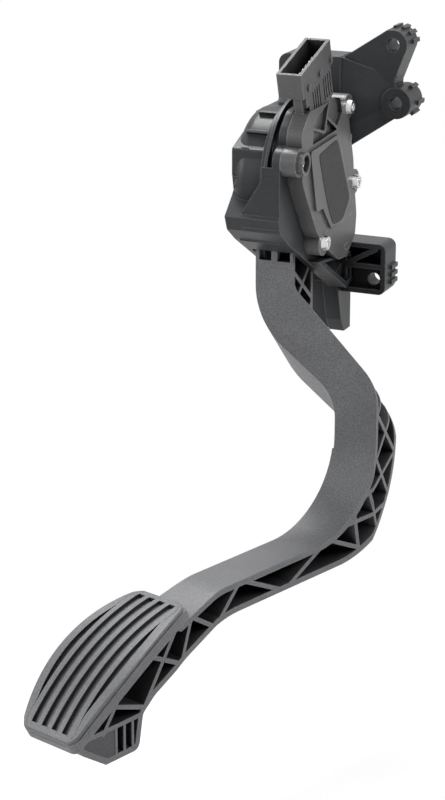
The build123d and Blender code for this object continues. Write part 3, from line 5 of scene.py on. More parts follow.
import bmesh
import bpy
import numpy as np
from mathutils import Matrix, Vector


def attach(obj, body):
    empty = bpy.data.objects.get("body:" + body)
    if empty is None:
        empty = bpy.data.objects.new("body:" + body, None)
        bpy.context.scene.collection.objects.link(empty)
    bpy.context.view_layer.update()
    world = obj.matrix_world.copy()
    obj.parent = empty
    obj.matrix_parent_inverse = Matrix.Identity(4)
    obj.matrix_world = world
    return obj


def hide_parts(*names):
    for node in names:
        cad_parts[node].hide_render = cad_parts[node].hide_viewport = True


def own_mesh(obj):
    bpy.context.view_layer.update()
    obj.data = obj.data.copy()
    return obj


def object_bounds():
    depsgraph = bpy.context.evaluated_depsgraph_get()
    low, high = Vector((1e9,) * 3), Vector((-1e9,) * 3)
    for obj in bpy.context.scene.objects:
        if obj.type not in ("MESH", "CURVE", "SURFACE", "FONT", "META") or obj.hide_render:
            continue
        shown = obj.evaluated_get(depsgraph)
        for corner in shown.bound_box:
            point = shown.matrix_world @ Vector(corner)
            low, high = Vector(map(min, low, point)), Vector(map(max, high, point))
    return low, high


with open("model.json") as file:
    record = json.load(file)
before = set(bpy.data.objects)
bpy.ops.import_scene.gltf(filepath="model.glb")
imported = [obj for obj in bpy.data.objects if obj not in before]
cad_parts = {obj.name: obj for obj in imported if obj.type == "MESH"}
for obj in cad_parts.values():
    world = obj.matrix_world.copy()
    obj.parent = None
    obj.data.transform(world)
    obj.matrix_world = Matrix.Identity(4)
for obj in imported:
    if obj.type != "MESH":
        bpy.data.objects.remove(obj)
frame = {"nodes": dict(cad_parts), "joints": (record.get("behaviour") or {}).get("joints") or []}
CAD_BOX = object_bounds()

bl_info = {
    "name": "Accelerator pedal looks",
    "version": (1, 0, 0),
    "blender": (4, 5, 0),
    "location": "View3D > Sidebar > Pedal",
    "description": "Dresses the pedal's solids with grained plastic, plated steel and moulding marks",
    "category": "Object",
}

MM = 1000.0

# The pivot in the part's frame, in metres, and the pedal's travel
HINGE = frame["joints"][0]
PIVOT = np.array(HINGE["pos_m"])
TRAVEL = math.radians(max(HINGE["range_deg"]))


def lowest_sweep(mesh, turn):
    """Lowest height of a mesh at rest and after a turn about X through the pivot: z' = y sin(turn) + z cos(turn)."""
    points = np.empty(3 * len(mesh.vertices))
    mesh.vertices.foreach_get("co", points)
    away = points.reshape(-1, 3) - PIVOT
    turned = away[:, 1] * math.sin(turn) + away[:, 2] * math.cos(turn)
    return PIVOT[2] + min(away[:, 2].min(), turned.min())


# The floor lies just under the lowest place that the pad reaches, and its shadow stays near the foot
FLOOR_DROP = 0.002
FLOOR_REACH = 6.0
FLOOR_Z = lowest_sweep(frame["nodes"]["pedal_arm"].data, TRAVEL) - FLOOR_DROP
FOOT_SETBACK = 0.05
FOOT = (PIVOT[0], CAD_BOX[0][1] + FOOT_SETBACK, FLOOR_Z)
SHADOW_REACH = (0.04, 0.22)
SHADOW_GLOW = 0.68
WHITE = (1.0, 1.0, 1.0, 1.0)

# Lamps: each one's place and width in metres, and the point at which they all aim
LAMPS = {
    "key": ((-0.5, 0.4, 1.45), 0.8),
    "fill": ((-1.15, -1.0, 0.45), 0.9),
    "rim": ((1.05, -0.35, 0.85), 0.7),
}
LAMP_AIM = (-0.03, -0.12, -0.12)

# Camera: its place in metres, its pitch and turn in degrees, its sensor's width and how far it sees
CAMERA_PLACE = (0.40444, -1.16075, 0.21508)
CAMERA_PITCH = 18.4
CAMERA_TURN = 23.5
SENSOR_WIDTH = 36.0
CAMERA_REACH = 20.0

# Faces and places of the moulded details, in millimetres from the pivot
COVER_X = 21.5
FIELD_X = 22.9
HOUSING_X = -15.0
FIELD_CORNERS = ((-10.6, 12.9), (3.0, -17.0), (10.6, -27.2), (24.4, -27.4), (33.6, -18.2), (15.0, 16.2))
BEAD_PLACE = (33.6, -44.0)
BEAD_HALVES = (3.0, 1.6)
BEAD_POINTS = 96
BEAD_SIDES = 10
COVER_MARKS = ((38.0, -27.0), (3.0, -30.5), (37.0, 12.0))
COVER_MARK_SHARE = 0.7
HOUSING_MARKS = ((34.0, 6.0), (36.0, -25.0), (14.0, -38.0), (-15.0, -27.0))

# Profile of an ejector pin's mark: shares of its radius, and the heights there in millimetres
MARK_POINTS = 40
MARK_SHARES = (0.2, 0.7, 0.82, 0.88, 0.95, 1.0, 1.0, 0.5)
MARK_RISES = (0.02, 0.02, 0.06, 0.14, 0.14, 0.06, -0.1, -0.1)

# Profile of a thin plate: shares of the way to its rim, and the heights there as shares of its thickness
RIM_POINTS = 160
RIM_SHARES = (0.3, 0.6, 0.85, 0.97, 0.988, 1.0, 1.0, 0.5)
RIM_RISES = (1.0, 1.0, 1.0, 1.0, 0.85, 0.5, -0.3, -0.3)

# Frame of the lower arm: its side plane is turned about Z, and the pad's chord rises to its high end
ARM_TURN = math.radians(18.0)
PAD_RISE = math.radians(28.9)
SIDEWAYS = np.array([math.cos(ARM_TURN), -math.sin(ARM_TURN), 0.0])
ALONG = np.array([math.sin(ARM_TURN), math.cos(ARM_TURN), 0.0])
UP = np.array([0.0, 0.0, 1.0])
CHORD = ALONG * math.cos(PAD_RISE) + UP * math.sin(PAD_RISE)
PAD_OUT = UP * math.cos(PAD_RISE) - ALONG * math.sin(PAD_RISE)
ARM_ORIGIN = np.array([43.6, -8.0, 0.0])
PAD_HALF = 44.75
PAD_STATION = 143.0
PAD_DROP = 175.2
PAD_MIDDLE = ARM_ORIGIN - PAD_STATION * ALONG - PAD_DROP * UP - PAD_HALF * CHORD

# Pad plate: half widths at its low end, middle and high end, its crown, its rim and its grooves
PLATE_HALVES = (16.1, 22.6, 14.8)
PLATE_CROWN = 9.0
PLATE_CORNER = 5.0
PLATE_ROUND = 0.8
PLATE_SINK = 0.8
GROOVE_PITCH = 6.5
GROOVE_END = 3.4
GROOVE_SLANT = 0.12
SIDE_GROOVE = 14.65
SIDE_MARGIN = 4.6
SIDE_LIMIT = 2.6
SIDE_FADE = 0.5

# Cross-sections of the pad plate: distances from its ends, even rows between, and points at its rim and below
END_STEPS = (0.0, 0.1, 0.3, 0.8, 1.6, GROOVE_END - 0.25, GROOVE_END, 4.4, 5.6, 7.0)
EVEN_FROM = 8.5
EVEN_ROWS = 48
EDGE_STEPS = (1.4, 0.8, 0.4, 0.12, 0.0)
UNDER_SHARES = (0.98, 0.5, 0.0, -0.5, -0.98)

# Panel in the foot's side, in (station, height), its face's distance from the arm's middle and its rim's power
PANEL_CORNERS = ((-190.6, -218.6), (-212.0, -218.6), (-213.0, -225.5), (-198.0, -236.0), (-190.6, -236.0))
PANEL_FACE = 13.4
PANEL_SHARPER = 2

# Return springs: their axis' distance behind the pivot and length, then each one's coil radius, wire radius and turns
SPRING_Y = 24.0
SPRING_LENGTH = 27.0
SPRING_GAP = 0.05
SPRINGS = (("outer", 7.2, 0.9, 5), ("inner", 4.3, 0.7, 6))
COIL_POINTS = 36
WIRE_SIDES = 12

# Grain and streaks: the noise's middle range, the bump's strength and depth, and the samples of rounded edges
NOISE_RANGE = (0.3, 0.7)
EDGE_SAMPLES = 6
CLOUD_SCALE = 38.0
GRAIN_BUMP = 0.55
GRAIN_GLOSS = 0.07
STREAK_STRETCH = (1.0, 1.0, 0.12)
STREAK_BUMP = 0.25
STREAK_DEPTH = 0.00002
METAL_EDGE = 0.00025

# Pad and foot: the pad's edges as a share of the arm's, and the foot's colour, darkened as a painted shadow, as a share
# of the arm's
PAD_EDGE_SHARE = 0.5
FOOT_SHADE = 0.4

# Metals: colour, roughness, streaks per metre and the nodes that they dress
METALS = {
    "zinc_plate": ((0.72, 0.72, 0.73), 0.28, 900.0, ("cover_screws",)),
    "ground_steel": ((0.56, 0.56, 0.58), 0.24, 1500.0, ("pivot_shaft", "shaft_clip")),
    "spring_wire": (
        (0.34, 0.34, 0.36), 0.34, 1200.0, ("outer_return_spring", "inner_return_spring", "friction_spring"),
    ),
    "tinned_brass": ((0.34, 0.32, 0.27), 0.48, 1100.0, ("connector_pins",)),
    "stamped_aluminium": ((0.76, 0.76, 0.77), 0.36, 700.0, ("rotor_target",)),
}

# Inner plastics: colour, grain as a share of the mouldings', edge radius, roughness, speckle and their nodes
INNER_PLASTICS = {
    "bearing_plastic": (
        (0.55, 0.53, 0.47), 0.5, 0.0002, 0.42, 0.06,
        ("left_bush", "right_bush", "spring_seat", "friction_shoe", "rotor_carrier"),
    ),
    "soft_rubber": ((0.022, 0.022, 0.023), 0.4, 0.0003, 0.72, 0.2, ("idle_stop_pad", "cover_seal")),
    "chip_resin": ((0.016, 0.016, 0.017), 0.3, 0.0001, 0.48, 0.1, ("sensor_chips",)),
}

# Solder mask and tracks of the circuit board
MASK_GREEN = (0.012, 0.085, 0.035, 1.0)
TRACK_GREEN = (0.03, 0.17, 0.07, 1.0)
TRACK_SCALE = 260.0
TRACK_EDGE = (0.02, 0.09)


class MouldingLooks(bpy.types.PropertyGroup):
    """Colours and grain of the moulded pieces."""

    arm_colour: bpy.props.FloatVectorProperty(
        name="Arm colour",
        description="Base colour of the glass-filled arm",
        subtype="COLOR",
        size=3,
        min=0.0,
        max=1.0,
        default=(0.084, 0.085, 0.091),
    )
    housing_colour: bpy.props.FloatVectorProperty(
        name="Housing colour",
        description="Base colour of the housing and its end cap",
        subtype="COLOR",
        size=3,
        min=0.0,
        max=1.0,
        default=(0.024, 0.025, 0.027),
    )
    cover_colour: bpy.props.FloatVectorProperty(
        name="Cover colour",
        description="Base colour of the sensor cover",
        subtype="COLOR",
        size=3,
        min=0.0,
        max=1.0,
        default=(0.066, 0.066, 0.068),
    )
    field_colour: bpy.props.FloatVectorProperty(
        name="Field colour",
        description="Base colour of the matt field on the cover",
        subtype="COLOR",
        size=3,
        min=0.0,
        max=1.0,
        default=(0.028, 0.028, 0.029),
    )
    grain: bpy.props.FloatProperty(
        name="Grain size",
        description="Width of one grain of the moulded skin",
        subtype="DISTANCE",
        unit="LENGTH",
        min=0.0001,
        default=0.00052,
    )
    edge_radius: bpy.props.FloatProperty(
        name="Edge radius",
        description="Radius at which moulded edges catch the light",
        subtype="DISTANCE",
        unit="LENGTH",
        min=0.0,
        default=0.0007,
    )


class DetailLooks(bpy.types.PropertyGroup):
    """Sizes of the small moulded details."""

    field_thickness: bpy.props.FloatProperty(
        name="Field thickness",
        description="Height of the matt field on the cover",
        subtype="DISTANCE",
        unit="LENGTH",
        min=0.0,
        default=0.0003,
    )
    field_corner: bpy.props.FloatProperty(
        name="Field corners",
        description="Power of the field's rim: higher gives sharper corners",
        min=2.0,
        default=16.0,
    )
    plate_thickness: bpy.props.FloatProperty(
        name="Pad plate",
        description="Height of the ribbed plate on the pad",
        subtype="DISTANCE",
        unit="LENGTH",
        min=0.0,
        default=0.0021,
    )
    groove_depth: bpy.props.FloatProperty(
        name="Groove depth",
        description="Depth of the grooves in the pad's plate",
        subtype="DISTANCE",
        unit="LENGTH",
        min=0.0,
        default=0.0019,
    )
    groove_width: bpy.props.FloatProperty(
        name="Groove width",
        description="Width of the grooves in the pad's plate",
        subtype="DISTANCE",
        unit="LENGTH",
        min=0.0005,
        default=0.0036,
    )
    panel_thickness: bpy.props.FloatProperty(
        name="Foot panel",
        description="Thickness of the panel in the foot's side",
        subtype="DISTANCE",
        unit="LENGTH",
        min=0.0,
        default=0.0004,
    )
    ejector_radius: bpy.props.FloatProperty(
        name="Ejector mark radius",
        description="Radius of the round marks that the mould's pins leave",
        subtype="DISTANCE",
        unit="LENGTH",
        min=0.0005,
        default=0.0032,
    )
    bead_radius: bpy.props.FloatProperty(
        name="Bead radius",
        description="Radius of the moulded bead on the cover",
        subtype="DISTANCE",
        unit="LENGTH",
        min=0.0001,
        default=0.0004,
    )


class StageLooks(bpy.types.PropertyGroup):
    """Floor, lamps and camera of the studio."""

    floor_colour: bpy.props.FloatVectorProperty(
        name="Floor colour",
        description="Colour of the studio floor",
        subtype="COLOR",
        size=3,
        min=0.0,
        max=1.0,
        default=(0.9, 0.9, 0.9),
    )
    key_power: bpy.props.FloatProperty(
        name="Key light",
        description="Power of the large soft lamp over the pedal",
        subtype="POWER",
        unit="POWER",
        min=0.0,
        default=45.0,
    )
    fill_power: bpy.props.FloatProperty(
        name="Fill light",
        description="Power of the soft lamp at the front left",
        subtype="POWER",
        unit="POWER",
        min=0.0,
        default=17.0,
    )
    rim_power: bpy.props.FloatProperty(
        name="Rim light",
        description="Power of the soft lamp at the pedal's right side",
        subtype="POWER",
        unit="POWER",
        min=0.0,
        default=19.0,
    )
    sky_share: bpy.props.FloatProperty(
        name="Sky light",
        description="Share of the white surroundings that lights the pedal",
        subtype="FACTOR",
        min=0.0,
        max=1.0,
        default=0.14,
    )
    lens: bpy.props.FloatProperty(
        name="Lens",
        description="Focal length of the camera for a 36 mm frame",
        subtype="DISTANCE_CAMERA",
        min=10.0,
        default=109.1,
    )


def tree_filler(tree):
    """Empties a node tree and gives a function that adds a node to it with its settings and inputs."""
    tree.nodes.clear()

    def make(kind, **settings):
        inputs = settings.pop("inputs", {})
        node = tree.nodes.new(kind)
        for key, value in settings.items():
            setattr(node, key, value)
        for key, value in inputs.items():
            if isinstance(value, bpy.types.NodeSocket):
                tree.links.new(value, node.inputs[key])
            else:
                node.inputs[key].default_value = value
        return node

    return make


def node_maker(name):
    """A new node material and the function that fills it."""
    material = bpy.data.materials.new(name)
    material.use_nodes = True
    return material, tree_filler(material.node_tree)


def seen_directly(make):
    """1 where the lens sees a surface, also in a reflection or through glass, and 0 for the light that it gives."""
    path = make("ShaderNodeLightPath").outputs
    seen = path["Is Camera Ray"]
    for other in ("Is Glossy Ray", "Is Transmission Ray"):
        seen = make("ShaderNodeMath", operation="MAXIMUM", inputs={0: seen, 1: path[other]}).outputs[0]
    return seen


def spread(make, value, low, high, first, last):
    """The value's range low to high spread over first to last."""
    return make(
        "ShaderNodeMapRange",
        inputs={"Value": value, "From Min": low, "From Max": high, "To Min": first, "To Max": last},
    ).outputs[0]


def noise(make, where, scale, detail, roughness=0.5):
    """Cloudy noise at a place, with so many clouds per metre."""
    return make(
        "ShaderNodeTexNoise",
        inputs={"Vector": where, "Scale": scale, "Detail": detail, "Roughness": roughness},
    ).outputs["Fac"]


def scaled(make, colour, share):
    """The colour times a share."""
    return make("ShaderNodeVectorMath", operation="SCALE", inputs={0: colour, "Scale": share}).outputs[0]


def finish_material(material, make, surface):
    """Joins the surface to the material's output."""
    make("ShaderNodeOutputMaterial", inputs={"Surface": surface})
    return material


def grained_plastic(
    name, colour, grain, edge, roughness=0.5, speckle=0.25, depth=0.00003, painted_recess_shade=0.3, painted_edge_highlight=1.5, gloss=0.4,
    shade_reach=0.016, shade_range=(0.25, 0.85),
):
    """Moulded plastic: a fine grain in the bump and the gloss, cloudy flow marks in the colour, painted shade that
    darkens recesses by their ambient occlusion, and edges that are rounded for the light and made lighter by a painted
    highlight."""
    material, make = node_maker(name)
    where = make("ShaderNodeTexCoord").outputs["Object"]
    fine = noise(make, where, 1.0 / grain, 3.0, 0.6)
    cloud = noise(make, where, CLOUD_SCALE, 4.0, 0.55)
    soft_edge = make("ShaderNodeBevel", samples=EDGE_SAMPLES, inputs={"Radius": edge}).outputs[0]
    flat = make("ShaderNodeNewGeometry").outputs["Normal"]
    turn = make("ShaderNodeVectorMath", operation="DOT_PRODUCT", inputs={0: soft_edge, 1: flat})
    painted_recess_occlusion = make(
        "ShaderNodeAmbientOcclusion", samples=EDGE_SAMPLES, only_local=True, inputs={"Distance": shade_reach}
    )
    # Each factor of the shade: a value, its range, and the factors at both ends of the range
    factors = (
        (fine, 0.35, 0.68, 1.0 - speckle, 1.0 + speckle),
        (cloud, *NOISE_RANGE, 0.9, 1.1),
        # Painted highlight: where the rounded normal turns away from the flat one, at edges, the colour is made lighter
        (turn.outputs["Value"], 0.8, 0.985, painted_edge_highlight, 1.0),
        # Painted shade: where ambient occlusion finds a recess within the reach, the colour is made darker
        (painted_recess_occlusion.outputs["AO"], *shade_range, painted_recess_shade, 1.0),
    )
    shade, *others = [spread(make, *factor) for factor in factors]
    for other in others:
        shade = make("ShaderNodeMath", operation="MULTIPLY", inputs={0: shade, 1: other}).outputs[0]
    rough = spread(make, fine, *NOISE_RANGE, roughness + GRAIN_GLOSS, roughness - GRAIN_GLOSS)
    bump = make(
        "ShaderNodeBump",
        inputs={"Strength": GRAIN_BUMP, "Distance": depth, "Height": fine, "Normal": soft_edge},
    )
    shader = make(
        "ShaderNodeBsdfPrincipled",
        inputs={
            "Base Color": scaled(make, colour, shade),
            "Roughness": rough,
            "Normal": bump.outputs[0],
            "Specular IOR Level": gloss,
        },
    )
    return finish_material(material, make, shader.outputs[0])


def plated_steel(name, colour, roughness, scratch):
    """Plated or ground steel: metal whose gloss and bump follow fine streaks along one axis."""
    material, make = node_maker(name)
    where = make("ShaderNodeTexCoord").outputs["Object"]
    drawn = make("ShaderNodeMapping", inputs={"Vector": where, "Scale": STREAK_STRETCH})
    streak = noise(make, drawn.outputs[0], scratch, 3.0)
    rough = spread(make, streak, *NOISE_RANGE, roughness - 0.08, roughness + 0.12)
    shade = spread(make, streak, *NOISE_RANGE, 0.85, 1.08)
    soft_edge = make("ShaderNodeBevel", samples=EDGE_SAMPLES, inputs={"Radius": METAL_EDGE})
    bump = make(
        "ShaderNodeBump",
        inputs={
            "Strength": STREAK_BUMP,
            "Distance": STREAK_DEPTH,
            "Height": streak,
            "Normal": soft_edge.outputs[0],
        },
    )
    shader = make(
        "ShaderNodeBsdfPrincipled",
        inputs={
            "Base Color": scaled(make, colour, shade),
            "Metallic": 1.0,
            "Roughness": rough,
            "Normal": bump.outputs[0],
        },
    )
    return finish_material(material, make, shader.outputs[0])


def circuit_green(name):
    """Solder mask: green lacquer with lighter tracks on a square cell pattern."""
    material, make = node_maker(name)
    where = make("ShaderNodeTexCoord").outputs["Object"]
    cells = make(
        "ShaderNodeTexVoronoi",
        distance="MANHATTAN",
        feature="DISTANCE_TO_EDGE",
        inputs={"Vector": where, "Scale": TRACK_SCALE, "Randomness": 0.8},
    )
    track = spread(make, cells.outputs["Distance"], *TRACK_EDGE, 1.0, 0.0)
    # Inputs 6 and 7 of the mix are its two colours, and output 2 is the mixed one
    mask = make("ShaderNodeMix", data_type="RGBA", inputs={"Factor": track, 6: MASK_GREEN, 7: TRACK_GREEN})
    bump = make("ShaderNodeBump", inputs={"Strength": 0.3, "Distance": 0.00003, "Height": track})
    shader = make(
        "ShaderNodeBsdfPrincipled",
        inputs={"Base Color": mask.outputs[2], "Roughness": 0.3, "Normal": bump.outputs[0]},
    )
    return finish_material(material, make, shader.outputs[0])


def place(x, y, z, origin=(0.0, 0.0, 0.0), axes=np.eye(3)):
    """Points given in millimetres along three axes from an origin, which counts from the pivot, in the part's frame
    in metres."""
    return PIVOT + (np.array(origin) + np.stack(np.broadcast_arrays(x, y, z), -1) @ np.array(axes)) / MM


def full_turn(count):
    """Angles at even steps round a full turn."""
    return np.linspace(0.0, 2.0 * np.pi, count, endpoint=False)


def ring_faces(rows, columns):
    """Quads that join rings of points in order, each ring closed on itself."""
    index = np.arange(rows * columns).reshape(rows, columns)
    after = np.roll(index, -1, axis=1)
    return np.stack([index[:-1], after[:-1], after[1:], index[1:]], -1).reshape(-1, 4)


def capped_rings(rings):
    """Points and faces of rings joined in order, with a fan from each end ring to its middle."""
    rows, columns = rings.shape[:2]
    count = rows * columns
    points = np.concatenate([rings.reshape(-1, 3), rings[:1].mean(axis=1), rings[-1:].mean(axis=1)])
    first = np.arange(columns)
    last = first + count - columns
    fans = [
        np.stack([np.full(columns, count), np.roll(first, -1), first], -1),
        np.stack([np.full(columns, count + 1), last, np.roll(last, -1)], -1),
    ]
    return points, ring_faces(rows, columns).tolist() + np.concatenate(fans).tolist()


def surface_piece(name, parts, material, body):
    """One object from several closed surfaces, facing outwards and riding on a body."""
    points = []
    faces = []
    for part_points, part_faces in parts:
        start = sum(len(block) for block in points)
        faces += [[corner + start for corner in face] for face in part_faces]
        points.append(part_points)
    mesh = bpy.data.meshes.new(name)
    mesh.from_pydata(np.concatenate(points).tolist(), [], faces)
    shell = bmesh.new()
    shell.from_mesh(mesh)
    bmesh.ops.recalc_face_normals(shell, faces=shell.faces)
    shell.to_mesh(mesh)
    shell.free()
    mesh.materials.append(material)
    piece = bpy.data.objects.new(name, mesh)
    bpy.context.scene.collection.objects.link(piece)
    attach(piece, body)
    return piece


def field_plate(corners, height, thickness, power, origin=(0.0, 0.0, 0.0), axes=np.eye(3)):
    """Thin plate with rounded corners. At angle a from its middle the rim is 1 / (sum of max(0, n.e(a) / d)^p)^(1/p)
    away, with each side's normal n and distance d, and the face drops to the rim with the share of that way."""
    corners = np.array(corners)
    middle = corners.mean(axis=0)
    run = np.roll(corners, -1, axis=0) - corners
    normal = np.stack([-run[:, 1], run[:, 0]], -1) / np.linalg.norm(run, axis=1)[:, None]
    reach = np.sum(normal * (corners - middle), axis=1)
    angle = full_turn(RIM_POINTS)
    aim = np.stack([np.cos(angle), np.sin(angle)], -1)
    sides = np.maximum(0.0, aim @ (normal / reach[:, None]).T)
    rim = 1.0 / np.sum(sides**power, axis=1) ** (1.0 / power)
    share = np.array(RIM_SHARES)[:, None]
    rise = np.array(RIM_RISES)[:, None] * thickness * MM
    flat = middle + share[..., None] * (rim[:, None] * aim)[None]
    return capped_rings(place(height + rise, flat[..., 0], flat[..., 1], origin, axes))


def rounding(inset):
    """Drop of a rounded rim at a distance inwards from it: r - sqrt(r^2 - (r - inset)^2) inside the radius r."""
    reach = np.clip(PLATE_ROUND - inset, 0.0, PLATE_ROUND)
    return PLATE_ROUND - np.sqrt(PLATE_ROUND**2 - reach**2)


def pad_plate(thickness, depth, width):
    """Ribbed plate on the pad. Along the chord at s its face follows the crown sqrt(R^2 - s^2) - (R - crown), its half
    width is a parabola through the three halves with round corners, and across it four grooves run at even pitch,
    with a groove at each side that opens where the plate is wide enough. Each cross-section is a closed ring."""
    steps = np.array(END_STEPS)
    inner = np.linspace(EVEN_FROM - PAD_HALF, PAD_HALF - EVEN_FROM, EVEN_ROWS)
    s = np.concatenate([steps - PAD_HALF, inner, PAD_HALF - steps[::-1]])[:, None]
    end = PAD_HALF - np.abs(s)
    low, middle, high = PLATE_HALVES
    share = s / PAD_HALF
    half = middle + share * (high - low) / 2 - share**2 * (middle - (low + high) / 2)
    nipped = PLATE_CORNER - np.sqrt(PLATE_CORNER**2 - np.maximum(0.0, PLATE_CORNER - end) ** 2)
    # The right half's points across: middle, two grooves with slanted walls, the side groove and the rim
    wall = width / 2 + GROOVE_SLANT * np.array([1.0, -1.0])
    across = np.array([-wall[0], -wall[1], 0.0, wall[1], wall[0]])
    cut = np.array([0.0, 1.0, 1.0, 1.0, 0.0])
    core = np.concatenate([[0.0], GROOVE_PITCH * 0.5 + across, GROOVE_PITCH * 1.5 + across])
    core_cut = depth * np.concatenate([[0.0], cut, cut]) * (end >= GROOVE_END)
    first = np.minimum(SIDE_GROOVE, half - SIDE_LIMIT)
    last = np.maximum(half - SIDE_MARGIN, first + 3 * GROOVE_SLANT)
    slant = GROOVE_SLANT * np.array([-1.0, 1.0])
    opened = np.clip((half - SIDE_MARGIN - SIDE_GROOVE) / SIDE_FADE, 0.0, 1.0)
    side_cut = depth * opened * np.array([0.0, 1.0, 1.0, 0.0])
    rim = np.array(EDGE_STEPS)
    x = np.concatenate([core * np.ones_like(s), first + slant, last - slant, half - rim], axis=1)
    drop = np.concatenate([core_cut, side_cut, 0.0 * half * rim], axis=1)
    edge = np.maximum(rounding(half - x), rounding(end))
    radius = (PAD_HALF**2 + PLATE_CROWN**2) / (2 * PLATE_CROWN)
    crown = np.sqrt(radius**2 - s**2) - (radius - PLATE_CROWN)
    top = crown + thickness - drop - edge
    # The ring runs over the top from the left to the right and back below
    under = half * np.array(UNDER_SHARES)
    ring_x = np.concatenate([-x[:, :0:-1], x, under], axis=1) * (half - nipped) / half
    ring_z = np.concatenate([top[:, :0:-1], top, (crown - PLATE_SINK) + 0.0 * under], axis=1)
    return capped_rings(place(ring_x, s, ring_z, PAD_MIDDLE, (SIDEWAYS, CHORD, PAD_OUT)))


def pin_mark(side, y, z, radius, outwards):
    """Round mark of an ejector pin on a face square to X: a turned profile of a raised ring round a shallow dish."""
    way = np.array(MARK_SHARES)[:, None] * radius * MM
    rise = np.array(MARK_RISES)[:, None] * outwards
    angle = full_turn(MARK_POINTS)[None]
    return capped_rings(place(side + rise, y + way * np.cos(angle), z + way * np.sin(angle)))


def closed_bead(side, y, z, half_length, half_height, radius):
    """Bead along a closed four-power oval: a circle of the bead's radius carried along the path, square to it."""
    way = full_turn(BEAD_POINTS)
    path = np.stack(
        [
            y + half_length * np.sign(np.cos(way)) * np.abs(np.cos(way)) ** 0.5,
            z + half_height * np.sign(np.sin(way)) * np.abs(np.sin(way)) ** 0.5,
        ],
        -1,
    )
    along = np.roll(path, -1, axis=0) - np.roll(path, 1, axis=0)
    across = np.stack([along[:, 1], -along[:, 0]], -1) / np.linalg.norm(along, axis=1)[:, None]
    round_way = full_turn(BEAD_SIDES)[:, None]
    flat = path[None] + (radius * MM * np.cos(round_way))[..., None] * across[None]
    rings = place(side + radius * MM * np.sin(round_way), flat[..., 0], flat[..., 1])
    rows, columns = rings.shape[:2]
    faces = ring_faces(rows + 1, columns) % (rows * columns)
    return rings.reshape(-1, 3), faces.tolist()


def coil(radius, wire, turns):
    """Spring over the lever: a circle of the wire's radius w carried along (R cos a, R sin a, rise * a / (2 pi turns)),
    in the plane of the radius and the normal that stands square to it and to the path."""
    angle = np.linspace(0.0, 2.0 * np.pi * turns, COIL_POINTS * turns + 1)[:, None]
    rise = SPRING_LENGTH - 2 * (wire + SPRING_GAP)
    pitch = rise / (2.0 * np.pi * turns)
    tilt = math.atan2(pitch, radius)
    round_way = full_turn(WIRE_SIDES)[None]
    out = radius + wire * np.cos(round_way)
    sway = wire * np.sin(round_way) * math.sin(tilt)
    x = out * np.cos(angle) + sway * np.sin(angle)
    y = out * np.sin(angle) - sway * np.cos(angle)
    z = SPRING_GAP + wire + pitch * angle + wire * np.sin(round_way) * math.cos(tilt)
    return capped_rings(place(x, SPRING_Y + y, z))


def dress(material, *nodes):
    """Gives the CAD nodes this material in place of their own."""
    for name in nodes:
        slots = frame["nodes"][name].data.materials
        slots.clear()
        slots.append(material)


class PEDAL_OT_mouldings(bpy.types.Operator):
    """Dress the arm, the housing, its end cap and the sensor cover in grained plastic"""

    bl_idname = "pedal.mouldings"
    bl_label = "Mouldings"

    def execute(self, context):
        looks = context.scene.pedal_moulding
        skin = {"grain": looks.grain, "edge": looks.edge_radius}
        # Each moulding's colour gets painted shade in its recesses and a painted highlight on its edges
        arm = grained_plastic(
            "arm_plastic", looks.arm_colour, **skin, roughness=0.48, speckle=0.4, painted_recess_shade=0.06, painted_edge_highlight=1.7,
            shade_reach=0.028, shade_range=(0.3, 0.85),
        )
        dress(arm, "pedal_arm")
        shell = grained_plastic(
            "housing_plastic", looks.housing_colour, **skin, roughness=0.4, speckle=0.2, painted_recess_shade=0.1, painted_edge_highlight=4.5,
            gloss=0.22,
        )
        dress(shell, "housing", "end_cap")
        cover = grained_plastic(
            "cover_plastic", looks.cover_colour, **skin, roughness=0.38, speckle=0.2, painted_recess_shade=0.08, painted_edge_highlight=3.5,
            gloss=0.3,
        )
        dress(cover, "sensor_cover")
        return {"FINISHED"}


class PEDAL_OT_metal_pieces(bpy.types.Operator):
    """Dress the screws, the shaft, its clip, the springs, the contacts and the rotor's target in metal"""

    bl_idname = "pedal.metal_pieces"
    bl_label = "Metal pieces"

    def execute(self, context):
        for name, (colour, roughness, scratch, nodes) in METALS.items():
            dress(plated_steel(name, colour, roughness, scratch), *nodes)
        return {"FINISHED"}


class PEDAL_OT_springs(bpy.types.Operator):
    """Wind the two return springs"""

    bl_idname = "pedal.springs"
    bl_label = "Return springs"

    def execute(self, context):
        wire_steel = frame["nodes"]["friction_spring"].data.materials[0]
        top = place(0.0, SPRING_Y, SPRING_LENGTH)
        for name, radius, wire, turns in SPRINGS:
            wound = coil(radius, wire, turns)
            piece = surface_piece(f"{name}_spring_coil", [wound], wire_steel, "housing")
            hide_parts(f"{name}_return_spring")
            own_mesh(piece)
        return {"FINISHED"}


class PEDAL_OT_inner_pieces(bpy.types.Operator):
    """Dress the bushes, shoe, seat, rotor, rubber and electronics inside the housing"""

    bl_idname = "pedal.inner_pieces"
    bl_label = "Inner pieces"

    def execute(self, context):
        grain = context.scene.pedal_moulding.grain
        for name, (colour, share, edge, roughness, speckle, nodes) in INNER_PLASTICS.items():
            dress(grained_plastic(name, colour, grain * share, edge, roughness, speckle), *nodes)
        dress(circuit_green("solder_mask"), "circuit_board")
        return {"FINISHED"}


